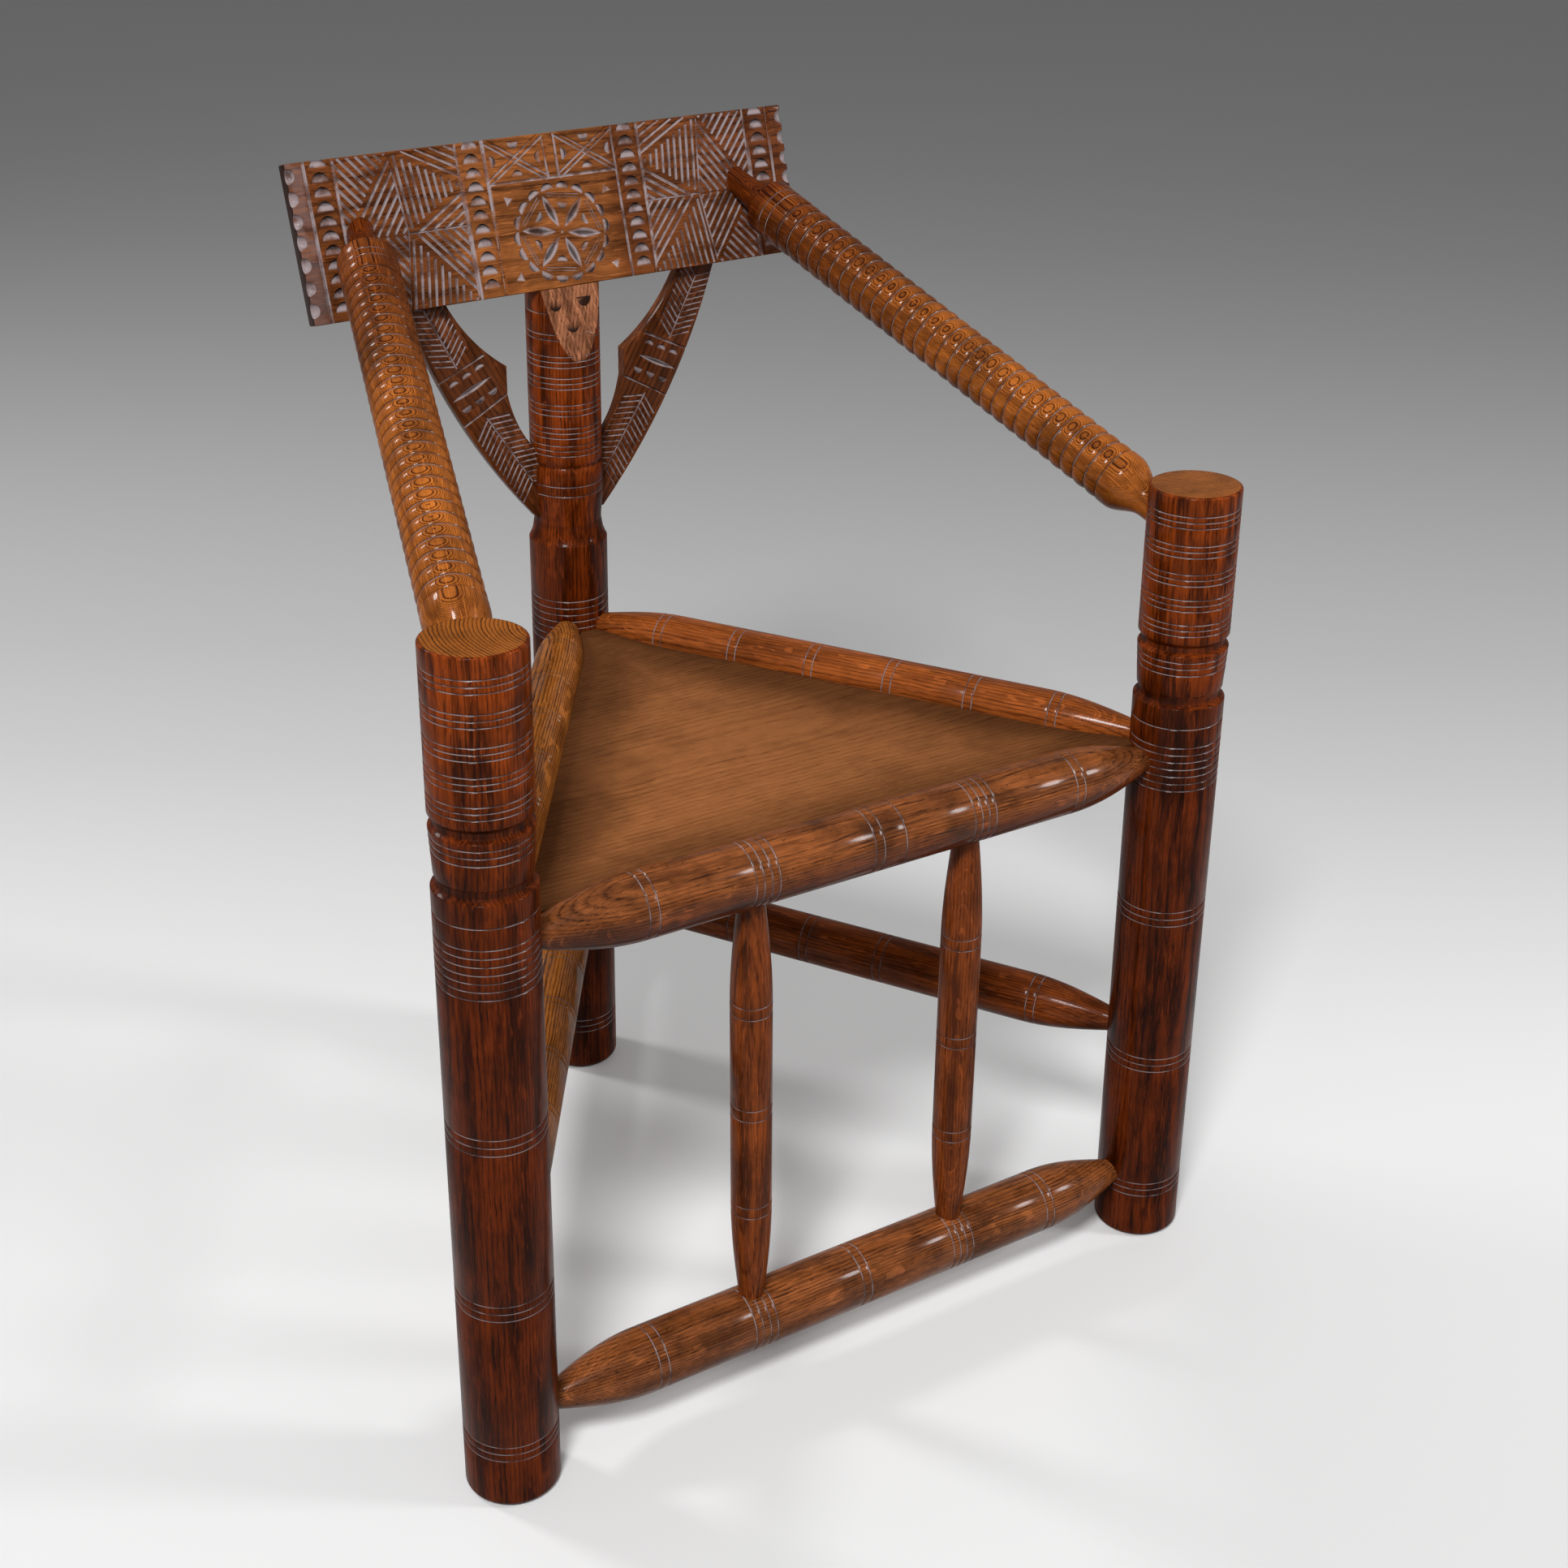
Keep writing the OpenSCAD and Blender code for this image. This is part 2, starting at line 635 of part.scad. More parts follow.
// Crest board, bored for the noses of the arms and for the pegs
module crest_board() {
    color([0.43, 0.20, 0.09])
    difference() {
        crest_blank(0, 0);
        for (side = [LEFT, RIGHT])
            along(arm_foot(side), arm_head(side)) translate([0, 0, arm_run(side) - arm_nose_len])
                cylinder(r = arm_nose_r + fit, h = arm_nose_len + 4 * crest_t);
        crest_peg_shafts(crest_peg_r + fit, peg_depth + fit);
        brace_peg_shafts(brace_peg_r + fit, peg_depth + fit);
    }
}

// Pegs driven in square to the board from behind and trimmed flush with the wood they pass through
module crest_peg_shafts(r, deep) {
    for (i = [0, 1])
        crest_frame() translate([0, crest_t - deep, crest_peg_up + i * crest_peg_step - crest_hgt / 2])
            rotate([-90, 0, 0]) cylinder(r = r, h = deep + 3 * back_r);
}
module crest_pegs() {
    color([0.24, 0.11, 0.06])
    intersection() {
        crest_peg_shafts(crest_peg_r, peg_depth);
        along(back_at(0), back_at(back_h)) cylinder(r = back_r, h = back_h);
    }
}
brace_peg_x = brace_reach - brace_top_w / 2 + brace_peg_up * lap_slope_outer;
module brace_peg_shafts(r, deep) {
    for (side = [LEFT, RIGHT])
        crest_frame() translate([side * brace_peg_x, crest_t - deep, brace_peg_up - crest_hgt / 2])
            rotate([-90, 0, 0]) cylinder(r = r, h = deep + 3 * brace_t);
}
module brace_pegs() {
    color([0.24, 0.11, 0.06])
    intersection() {
        brace_peg_shafts(brace_peg_r, peg_depth);
        translate([-big, brace_back_y - big, 0]) cube([2 * big, big, crest_z]);
    }
}

// Braces: flat boards sawn to a curve, with a knuckle half way up the inner edge
brace_y = back_at(brace_low_z)[1] - brace_set;
brace_back_y = brace_y + brace_t;
root_x = max(back_r, back_vase_r) + root_clear;
function curve(a, b, c) = [
    for (i = [0:curve_steps]) let (t = i / curve_steps) (1 - t) * (1 - t) * a + 2 * t * (1 - t) * b + t * t * c
];
brace_outline =
    let (
        tongue_x = root_x - brace_tongue,
        outer_low = [root_x, brace_low_z],
        outer_top = [brace_reach, crest_low_z],
        inner_top = [brace_reach - brace_top_w, crest_low_z],
        knuckle_low = [knuckle_x, brace_low_z + knuckle_up],
        knuckle_top = knuckle_low + [0, knuckle_len],
        inner_low = [root_x, brace_high_z],
        outer_bow = (outer_low + outer_top) / 2 + bow_outer,
        inner_bow = (inner_top + knuckle_top) / 2 + bow_inner,
        low_bow = (inner_low + knuckle_low) / 2 + bow_low
    )
    concat(
        [[tongue_x, brace_low_z]],
        curve(outer_low, outer_bow, outer_top),
        [outer_top + brace_lap * [lap_slope_outer, 1], inner_top + brace_lap * [lap_slope_inner, 1]],
        curve(inner_top, inner_bow, knuckle_top),
        curve(knuckle_low, low_bow, inner_low),
        [[tongue_x, brace_high_z]]
    );
module brace(side) {
    color([0.33, 0.14, 0.08])
    difference() {
        translate([0, brace_back_y, 0]) rotate([90, 0, 0]) scale([side, 1, 1])
            linear_extrude(brace_t) polygon(brace_outline);
        crest_blank(fit, 3 * back_r);
        brace_peg_shafts(brace_peg_r + fit, peg_depth);
    }
}
module brace_space(side) {
    x = root_x - brace_tongue - fit;
    translate([side > 0 ? x : -x - back_low_r, brace_y - fit, brace_low_z - fit])
        cube([back_low_r, brace_t + 2 * fit, brace_high_z - brace_low_z + 2 * fit]);
}
module left_brace() {
    brace(LEFT);
}
module right_brace() {
    brace(RIGHT);
}

front_post_left();
front_post_right();
back_post();
front_seat_rail();
left_seat_rail();
right_seat_rail();
seat_board();
front_stretcher();
left_stretcher();
right_stretcher();
left_spindle();
right_spindle();
left_arm();
right_arm();
crest_board();
left_brace();
right_brace();
crest_pegs();
brace_pegs();
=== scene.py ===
"""Looks of a turned three-post armchair: polished oak, ring lines full of old wax, and chip carving.

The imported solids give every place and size. Each visible piece is made again here with rounded
edges, softened ring lines and real carving, and with wood whose grain runs the way it was cut.
Metres throughout, +Z up, the sitter faces -Y.
"""
import math

import bmesh
import bpy
from bpy.props import FloatProperty, FloatVectorProperty, IntProperty, PointerProperty
from mathutils import Matrix, Vector


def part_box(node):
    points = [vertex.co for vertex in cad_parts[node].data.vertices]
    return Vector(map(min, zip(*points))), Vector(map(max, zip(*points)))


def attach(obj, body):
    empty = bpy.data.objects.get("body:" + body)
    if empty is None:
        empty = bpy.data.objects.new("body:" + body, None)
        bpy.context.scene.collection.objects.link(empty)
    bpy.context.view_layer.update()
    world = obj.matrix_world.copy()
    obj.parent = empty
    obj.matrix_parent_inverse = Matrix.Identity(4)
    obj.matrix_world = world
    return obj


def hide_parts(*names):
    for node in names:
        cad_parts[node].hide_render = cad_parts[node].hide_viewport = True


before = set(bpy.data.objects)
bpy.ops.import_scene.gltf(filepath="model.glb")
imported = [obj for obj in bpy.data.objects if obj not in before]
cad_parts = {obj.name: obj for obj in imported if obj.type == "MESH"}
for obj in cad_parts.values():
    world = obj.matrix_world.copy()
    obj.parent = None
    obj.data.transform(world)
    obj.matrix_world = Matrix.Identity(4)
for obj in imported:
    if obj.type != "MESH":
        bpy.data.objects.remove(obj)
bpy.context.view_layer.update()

bl_info = {
    "name": "Turned three-post armchair",
    "version": (1, 0, 0),
    "blender": (4, 5, 0),
    "location": "3D View > Sidebar > Armchair",
    "description": "Builds the visible pieces of a turned, chip-carved oak armchair",
    "category": "Object",
}

MM = 0.001
LEFT, RIGHT = -1, 1
SIDE_NAMES = {LEFT: "left", RIGHT: "right"}
FIT = 0.15 * MM  # clearance in a joint
BOX_SLACK = 1.2 * MM  # the most by which a piece's box may differ from its CAD node's
# Stands a board up that lies face up: x stays across, y goes up and z toward the chair's front
UPRIGHT = Matrix(((1, 0, 0), (0, 0, -1), (0, 1, 0))).to_4x4()
# From a place in a piece to its place in the tree, where the grain runs along the piece's x
GRAIN_ALONG_X = Matrix(((0, 1, 0), (0, 0, 1), (1, 0, 0))).to_4x4()


def length(name, description, millimetres):
    """A length that a user may change, with its default in millimetres."""
    return FloatProperty(name=name, description=description, default=millimetres * MM,
                         min=-1.0, max=2.0, precision=5, unit="LENGTH")


def tone(name, description, red, green, blue):
    """A colour that a user may change, in linear light."""
    return FloatVectorProperty(name=name, description=description, default=(red, green, blue),
                               min=0.0, max=1.0, size=3, subtype="COLOR")


class PostSizes(bpy.types.PropertyGroup):
    """Sizes of the three posts."""
    front_height: length("Front post height", "Height of the two front posts", 640)
    floor_spread: length("Spread on the floor", "Distance between the front posts' axes on the floor",
                         577.4)
    top_spread: length("Spread at the top", "Distance between the front posts' axes at their tops", 561.6)
    front_y: length("Front posts' place", "Place of the front posts' axes on the floor, front to back",
                    -225.85)
    front_lean: length("Front lean", "How far the top of a front post leans back", 12.3)
    back_y: length("Back post's place", "Place of the back post's axis on the floor, front to back", 227.55)
    back_lean: FloatProperty(name="Back lean", description="Forward lean of the back post for its height",
                             default=0.0075, min=0.0, max=0.05, precision=4)
    front_r: length("Barrel radius", "Radius of a front post's ringed barrel", 33.4)
    front_low_r: length("Lower radius", "Radius of a front post below its shoulder", 33.8)
    barrel: length("Barrel length", "Length of the ringed barrel, down from the top", 111)
    cup_gap: length("Upper notch", "Height of the notch between the barrel and the cup's rim", 9)
    cup: length("Cup length", "Length of the cup between the two notches", 33)
    cup_r: length("Cup radius", "Radius of the cup's rim", 33.3)
    cup_low_r: length("Cup's lower radius", "Radius at the lower end of the cup", 31.5)
    notch_r: length("Notch radius", "Radius at the bottom of both notches", 30)
    shoulder_gap: length("Lower notch", "Height of the notch between the cup and the shoulder", 8.4)
    back_r: length("Back barrel radius", "Radius of the back post's upper barrel", 29.2)
    back_low_r: length("Back lower radius", "Radius of the back post below its shoulder", 32.1)
    back_shoulder_z: length("Back shoulder height", "Height of the back post's shoulder", 520)
    back_neck_z: length("Back neck height", "Height of the back post's neck", 531.8)
    back_barrel_z: length("Back barrel height", "Height of the back barrel's lower edge", 581.8)
    back_vase_r: length("Vase radius", "Radius of the long vase under the back barrel", 30)
    back_neck_r: length("Neck radius", "Radius in the neck under the vase", 27.5)
    back_height: length("Back post height", "Height of the back post", 804.53)
    facet: length("Facet length", "Height over which the planed facet runs out below the board", 57)
    foot_round: length("Foot rounding", "Rounding round the front feet", 3.5)
    back_foot_round: length("Back foot rounding", "Rounding round the back foot", 8)
    line_w: length("Ring line width", "Width of a ring line", 1.5)
    line_d: length("Ring line depth", "Depth of a ring line", 0.7)


class RailSizes(bpy.types.PropertyGroup):
    """Sizes of the rails, the stretchers, the spindles and the seat."""
    front_z: length("Front rail height", "Height of the front seat rail's axis", 430)
    front_r: length("Front rail radius", "Radius of the front seat rail", 23.5)
    side_z: length("Side rail height", "Height of the side seat rails' axes", 438.4)
    side_r: length("Side rail radius", "Radius of the side seat rails", 19.6)
    stretcher_z: length("Front stretcher height", "Height of the front stretcher's axis", 54.5)
    stretcher_r: length("Front stretcher radius", "Radius of the front stretcher", 24.4)
    side_front_z: length("Side stretcher's front height", "Height of a side stretcher at its front post",
                         181.4)
    side_back_z: length("Side stretcher's back height", "Height of a side stretcher at the back post", 186.6)
    side_stretcher_r: length("Side stretcher radius", "Radius of the side stretchers", 20.7)
    end_r: length("End radius", "Radius of a rail's end, where it goes into a post", 10)
    taper: length("Taper", "Length over which a rail swells from its end", 72)
    front_stop: length("Front depth", "Where a rail's end stops short of a front post's axis", 22.14)
    back_stop: length("Back depth", "Where a rail's end stops short of the back post's axis", 19.83)
    spindle_x: length("Spindle place", "Distance of a spindle from the middle of the chair", 90)
    spindle_r: length("Spindle radius", "Radius of a spindle", 15)
    spindle_end_r: length("Spindle end radius", "Radius of a spindle's end", 9.7)
    spindle_taper: length("Spindle taper", "Length over which a spindle swells from its end", 80)
    spindle_seat: length("Spindle seat", "Depth of a spindle's end in its rail", 12)
    seat_top: length("Seat height", "Height of the seat's top face", 438)
    seat_t: length("Seat thickness", "Thickness of the seat board", 10)
    seat_inset: length("Seat inset", "Distance of the seat board's edge inside a rail's axis", 12)


class ArmSizes(bpy.types.PropertyGroup):
    """Sizes of the two arms."""
    foot_z: length("Arm height", "Height of an arm's axis on a front post's axis", 601.6)
    head_x: length("Arm spread", "Distance from the middle to where an arm meets the board's face", 163.5)
    head_up: length("Arm's place on the board", "How far above the board's middle that place is", 0.9)
    arm_r: length("Arm radius", "Radius of an arm", 22)
    tenon_r: length("Tenon radius", "Radius of an arm's tenon in its front post", 12.2)
    tenon: length("Tenon depth", "Depth of that tenon along the arm", 16)
    swell: length("Swell length", "Length of the turned swell between tenon and full radius", 27)
    plain: length("Plain length", "Plain length between the swell and the first bead", 8)
    beads: IntProperty(name="Beads", description="Number of beads on an arm", default=29, min=1, max=60)
    bead_d: length("Bead depth", "Depth of the grooves between the beads", 2)
    band: length("Band length", "Length of the plain band above the beads", 34)
    nose: length("Nose length", "Length of the nose between the band and the board's face", 33)
    nose_r: length("Nose radius", "Radius of the nose", 10.3)


class CarvedSizes(bpy.types.PropertyGroup):
    """Sizes of the crest board, the braces and their carving."""
    board_w: length("Board width", "Width of the crest board", 421.6)
    board_h: length("Board height", "Height of the crest board, up its face", 115.6)
    board_t: length("Board thickness", "Thickness of the crest board", 13.5)
    board_y: length("Board's place", "Place of the middle of the board's face, front to back", 222.31)
    board_z: length("Board's height above the floor", "Height of the middle of the board's face", 778.6)
    lean: FloatProperty(name="Lean", description="Backward lean of the board",
                        default=math.radians(14.6), subtype="ANGLE", unit="ROTATION")
    roll: FloatProperty(name="Roll", description="Turn of the board in its own plane",
                        default=math.radians(1.5), subtype="ANGLE", unit="ROTATION")
    arris: length("Board's worn edges", "Rounding of the crest board's edges", 1.2)
    margin_line: length("Outermost line", "Distance of the outermost carved line from the middle", 196.7)
    panel_out: length("Panel's outer line", "Distance of a hatched panel's outer line from the middle", 175.6)
    panel_in: length("Panel's inner line", "Distance of a hatched panel's inner line from the middle", 76.6)
    centre_line: length("Centre's line", "Half the width of the middle field", 55.6)
    hatch_gap: length("Hatch spacing", "Distance between the hatched lines", 5.5)
    hatch_w: length("Hatch width", "Width of a hatched line", 3.2)
    hatch_d: length("Hatch depth", "Depth of a hatched line", 1.3)
    chip_gap: length("Chip spacing", "Distance between the chips of a column", 10.3)
    chip_w: length("Chip width", "Width of a half-moon chip", 13.6)
    chip_h: length("Chip height", "Height of a half-moon chip", 8.4)
    chip_d: length("Chip depth", "Depth of a half-moon chip", 2)
    frieze: length("Frieze line", "Height of the line under the frieze above the board's middle", 24.8)
    rosette_low: length("Rosette's place", "How far the rosette's middle is below the board's", 16.5)
    petal_from: length("Petal's start", "Where a petal starts, from the rosette's middle", 3.5)
    petal_to: length("Petal's tip", "Where a petal ends, from the rosette's middle", 33.5)
    petal_w: length("Petal width", "Greatest width of a petal", 8.8)
    rosette_turn: FloatProperty(name="Rosette turn", description="Turn of the rosette on the board",
                                default=math.radians(-9), subtype="ANGLE", unit="ROTATION")
    ring_across: length("Ring across", "Half the width of the ring of chips round the rosette", 38)
    ring_up: length("Ring up", "Half the height of the ring of chips round the rosette", 34.6)
    brace_t: length("Brace thickness", "Thickness of the brace boards", 11)
    brace_y: length("Brace's place", "Place of a brace's front face, front to back", 217.74)


class WoodTones(bpy.types.PropertyGroup):
    """Colours of the oak and of the wax in its grooves, in linear light."""
    post: tone("Posts", "Dark red-brown of the posts", 0.3, 0.052, 0.006)
    post_dark: tone("Posts' pores", "Darker wood in the posts' grain", 0.014, 0.0022, 0.0006)
    rail: tone("Right rail", "Red-brown of the right seat rail", 0.4, 0.1, 0.018)
    rail_dark: tone("Right rail's pores", "Darker wood in its grain, and in the spindles' and the pegs'",
                    0.03, 0.0052, 0.0012)
    # The spindles' darker red-brown, and painted shade for the right stretcher under the seat
    darker_red_and_shade: tone("Spindles", "Dark red-brown of the spindles and the right stretcher", 0.26, 0.058, 0.011)
    worn: tone("Worn rails", "Lighter worn brown of the front rail and stretcher", 0.31, 0.093, 0.025)
    worn_dark: tone("Worn rails' dirt", "Dark pitting in the worn rails", 0.02, 0.0048, 0.0018)
    seat: tone("Seat", "Mid-brown of the seat", 0.325, 0.12, 0.039)
    seat_dark: tone("Seat's pores", "Darker wood in the seat's grain", 0.16, 0.05, 0.014)
    golden: tone("Arms", "Golden brown of the arms", 0.48, 0.138, 0.02)
    golden_dark: tone("Arms' pores", "Darker wood in the arms' and left rails' grain", 0.04, 0.0075, 0.0015)
    # Partly painted light: the left rails' own golden brown, made lighter as if lit by the key lamp
    left: tone("Left rails", "Golden brown of the left seat rail and the left stretcher", 0.46, 0.15, 0.027)
    carved: tone("Carved boards", "Brown of the crest board and the braces", 0.34, 0.11, 0.028)
    carved_dark: tone("Carved boards' pores", "Darker wood in the carved boards' grain", 0.032, 0.008, 0.0028)
    fresh: tone("Planed facet", "Pale orange of the planed facet", 0.42, 0.165, 0.08)
    fresh_dark: tone("Facet's pores", "Darker wood in the facet's grain", 0.075, 0.024, 0.01)
    board_end: tone("Board's ends", "Near-black end grain of the carved board", 0.03, 0.011, 0.007)
    end: tone("End grain", "Orange-brown of the front posts' tops", 0.36, 0.11, 0.016)
    # Old wax and painted sheen: this pale lilac stands for wax and for the highlights on the grooves' lips
    wax_and_sheen: tone("Old wax", "Pale wax left in the grooves", 0.4, 0.33, 0.34)
    # Grime and painted shade: this near-black darkens groove edges and the deepest cuts, where shade falls,
    # as well as real dirt
    grime_and_shade: tone("Grime and shade", "Near-black dirt in corners", 0.01, 0.0035, 0.0018)
    near_floor: tone("Floor", "Pale floor round the chair, before it falls into shade", 0.885, 0.885, 0.885)


# Places along the chair's main axes

def front_at(context, side, z):
    """Place on a front post's axis at a height."""
    posts = context.scene.armchair_posts
    share = z / posts.front_height
    half = (posts.floor_spread + (posts.top_spread - posts.floor_spread) * share) / 2
    return Vector((side * half, posts.front_y + posts.front_lean * share, z))


def back_at(context, z):
    """Place on the back post's axis at a height."""
    posts = context.scene.armchair_posts
    return Vector((0, posts.back_y - posts.back_lean * z, z))


def board_matrix(context):
    """From the board's face (across, up, out) to the chair: the face is the plane out = 0."""
    carved = context.scene.armchair_carved
    turned = Matrix.Rotation(-carved.lean, 4, "X") @ Matrix.Rotation(-carved.roll, 4, "Y")
    return Matrix.Translation((0, carved.board_y, carved.board_z)) @ turned @ UPRIGHT


def arm_ends(context, side):
    """An arm's axis, from the front post's axis to the board's face."""
    arms = context.scene.armchair_arms
    head = board_matrix(context) @ Vector((side * arms.head_x, arms.head_up, 0))
    return front_at(context, side, arms.foot_z), head


def axis_matrix(start, end):
    """Sets a piece that was turned round Z from its origin between two points."""
    return Matrix.Translation(start) @ (end - start).to_track_quat("Z", "Y").to_matrix().to_4x4()


# Outlines of turned pieces: lists of (radius, place along the axis, groove, end grain)

# Across a ring line, in shares of its width: how deep it is, in shares of its depth
LINE_SHAPE = ((-0.62, 0.0), (-0.44, 0.14), (-0.17, 0.84), (0.0, 1.0), (0.17, 0.84), (0.44, 0.14), (0.62, 0.0))
RING_SHARES = (0.1667, 0.3622, 0.5532, 0.7288, 0.9009)  # down a front barrel, in shares of its length
CUP_RINGS = (15.7 * MM, 10.3 * MM, 5.4 * MM)  # down from the cup's rim
LOW_RINGS = (46.6 * MM, 168.1 * MM, 301.6 * MM)  # up from the floor
BACK_RINGS = (11.7 * MM, 26.4 * MM, 45.2 * MM, 67 * MM, 84.4 * MM)  # up the back barrel
RING_GAP, LOW_RING_GAP, SEVEN_GAP = 4.3 * MM, 6 * MM, 5.9 * MM
NOTCH_DIRT_AND_SHADE = 0.42  # how full of dirt and painted shade a notch is, where a ring line's floor counts as one


def plain(radius, place):
    """A point of an outline on clean side grain."""
    return radius, place, 0.0, 0.0


def hollow(radius, place, dirt_and_shade=NOTCH_DIRT_AND_SHADE):
    """A point of an outline in a notch or a corner, where dirt stays and shade is painted."""
    return radius, place, dirt_and_shade, 0.0


def end_face(radius, place):
    """A point of an outline on end grain."""
    return radius, place, 0.0, 1.0


def ring_line(radius, place, width, depth):
    """One ring line: a hollow V with softened lips."""
    return [(radius - fall * depth, place + share * width, fall, 0.0) for share, fall in LINE_SHAPE]


def ring_lines(places, radius_at, posts):
    """Ring lines at several places of a surface that may slope."""
    return [point for place in places
            for point in ring_line(radius_at(place), place, posts.line_w, posts.line_d)]


def group(middle, gap, half):
    """Places of an odd group of lines about a middle one."""
    return [middle + i * gap for i in range(-half, half + 1)]


def low_rings():
    """Heights of the threes of ring lines on the lower part of a post."""
    return [z for middle in LOW_RINGS for z in group(middle, LOW_RING_GAP, 1)]


def rounding(radius, place, size, first, last, steps=6, end_grain=0.0):
    """Points of a rounded edge of a turned piece, by the angles at which it starts and ends."""
    points = []
    for i in range(steps + 1):
        angle = math.radians(first + (last - first) * i / steps)
        points.append((radius - size + size * math.cos(angle), place + size * math.sin(angle), 0.0,
                       end_grain if i == steps else 0.0))
    return points


def line_up(parts):
    """Joins parts of an outline and sorts out doubled points."""
    points = [point for part in parts for point in part]
    kept = [points[0]]
    for point in points[1:]:
        if abs(point[0] - kept[-1][0]) + abs(point[1] - kept[-1][1]) > 1e-6:
            kept.append(point)
    return kept


def foot(radius, size):
    """Edge of a foot, from under the floor up to the post's full radius. The floor trims it."""
    start = radius - size * (1 - math.cos(math.radians(45)))
    clear, drop = 1.5 * MM, 3.5 * MM
    centre = clear + size * math.sin(math.radians(45))
    return ([plain(0, clear - drop), plain(start - drop, clear - drop)]
            + rounding(radius, centre, size, -45, 0))


# Meshes

def new_mesh():
    """An empty bmesh with the layers that the oak materials read."""
    bm = bmesh.new()
    bm.verts.layers.float.new("groove")
    bm.verts.layers.float.new("end_grain")
    bm.verts.layers.float_vector.new("wood")
    return bm


def turn(outline, steps=112):
    """Swings an outline round Z."""
    bm = new_mesh()
    groove, end_grain = bm.verts.layers.float["groove"], bm.verts.layers.float["end_grain"]
    line = []
    for radius, place, in_groove, on_end in outline:
        vert = bm.verts.new((max(radius, 0.0), 0.0, place))
        vert[groove], vert[end_grain] = in_groove, on_end
        line.append(vert)
    edges = [bm.edges.new(pair) for pair in zip(line, line[1:])]
    bmesh.ops.spin(bm, geom=line + edges, cent=(0, 0, 0), axis=(0, 0, 1), dvec=(0, 0, 0),
                   angle=math.tau, steps=steps, use_merge=True, use_duplicate=False)
    bmesh.ops.remove_doubles(bm, verts=bm.verts, dist=1e-6)
    bmesh.ops.recalc_face_normals(bm, faces=bm.faces)
    return bm


def mark_wood(bm, pith, to_wood=Matrix.Identity(4)):
    """Stores where each point lay in the tree: the pith runs along Z through the layer's origin."""
    wood = bm.verts.layers.float_vector["wood"]
    for vert in bm.verts:
        vert[wood] = to_wood @ vert.co + Vector(pith)


def slice_off(bm, point, normal):
    """Cuts away what lies on the normal's side of a plane and closes the cut."""
    cut = bmesh.ops.bisect_plane(bm, geom=bm.verts[:] + bm.edges[:] + bm.faces[:], dist=1e-7,
                                 plane_co=point, plane_no=normal, clear_outer=True)["geom_cut"]
    bmesh.ops.edgenet_fill(bm, edges=[e for e in cut if isinstance(e, bmesh.types.BMEdge)])
    bmesh.ops.recalc_face_normals(bm, faces=bm.faces)


def cut_away(body, cutters):
    """The body less its cutters, as a new bmesh. Both that come in are freed."""
    bmesh.ops.recalc_face_normals(cutters, faces=cutters.faces)
    made = []
    for name, bm in (("body", body), ("cutters", cutters)):
        mesh = bpy.data.meshes.new(name)
        bm.to_mesh(mesh)
        bm.free()
        made.append(bpy.data.objects.new(name, mesh))
        bpy.context.collection.objects.link(made[-1])
    boolean = made[0].modifiers.new("Carving", "BOOLEAN")
    boolean.operation, boolean.solver, boolean.use_self = "DIFFERENCE", "EXACT", True
    boolean.object = made[1]
    carved = bmesh.new()
    carved.from_object(made[0], bpy.context.evaluated_depsgraph_get())
    for obj in made:
        mesh = obj.data
        bpy.data.objects.remove(obj)
        bpy.data.meshes.remove(mesh)
    for layer in ("groove", "end_grain"):
        if layer not in carved.verts.layers.float:
            carved.verts.layers.float.new(layer)
    if "wood" not in carved.verts.layers.float_vector:
        carved.verts.layers.float_vector.new("wood")
    bmesh.ops.dissolve_degenerate(carved, dist=1e-7, edges=carved.edges)
    return carved


def soften(bm, limit=38):
    """Smooth shading, with edges sharper than the limit left crisp."""
    for face in bm.faces:
        face.smooth = True
    for edge in bm.edges:
        if edge.is_manifold and edge.calc_face_angle() > math.radians(limit):
            edge.smooth = False


def finish_piece(bm, name, node, materials):
    """Turns a finished bmesh into the piece that stands for a CAD node."""
    mesh = bpy.data.meshes.new(name)
    bm.to_mesh(mesh)
    bm.free()
    obj = bpy.data.objects.new(name, mesh)
    bpy.context.collection.objects.link(obj)
    for material in materials:
        mesh.materials.append(material)
    made = [Vector([pick(v.co[i] for v in mesh.vertices) for i in range(3)]) for pick in (min, max)]
    for corner, kept in zip(made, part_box(node)):
        if max(abs(x) for x in corner - Vector(kept)) > BOX_SLACK:
            raise RuntimeError(f"{name} doesn't fill the place of {node}: {corner} against {kept}")
    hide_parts(node)
    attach(obj, "root")
    return obj


# Cutters for carving. They are stamped on a plane, x and y along it and z out of it

LIFT = 1.5 * MM  # how far a cutter stands out of the face it cuts
# Hatching, in millimetres: its shortest line, what is left off each end, and where the ends run out
HATCH_SHORTEST, HATCH_TRIM, HATCH_RUN_OUT = 2.5, 0.4, 0.9


def laid_between(start, end):
    """Lays a cutter that was made along x, about its middle, between two places."""
    along = end - start
    return Matrix.Translation((start + end) / 2) @ Matrix.Rotation(math.atan2(along.y, along.x), 4, "Z")


def wedge(bm, start, end, width, depth, run_out=0.0):
    """A V-shaped line between two places, whose floor may rise to a point over its run-out at each end."""
    start, end = Vector((*start, 0)), Vector((*end, 0))
    half, wide = (end - start).length / 2, width / 2 * (1 + LIFT / depth)
    reach = half + run_out * LIFT / depth
    verts = bmesh.ops.create_cube(bm, size=2.0)["verts"]
    low = [v for v in verts if v.co.z < 0]
    for v in verts:
        if v in low:
            v.co = Vector((v.co.x * (half - run_out), 0, -depth))
        else:
            v.co = Vector((v.co.x * reach, v.co.y * wide, LIFT))
    bmesh.ops.transform(bm, verts=verts, matrix=laid_between(start, end))
    bmesh.ops.remove_doubles(bm, verts=low, dist=1e-7)


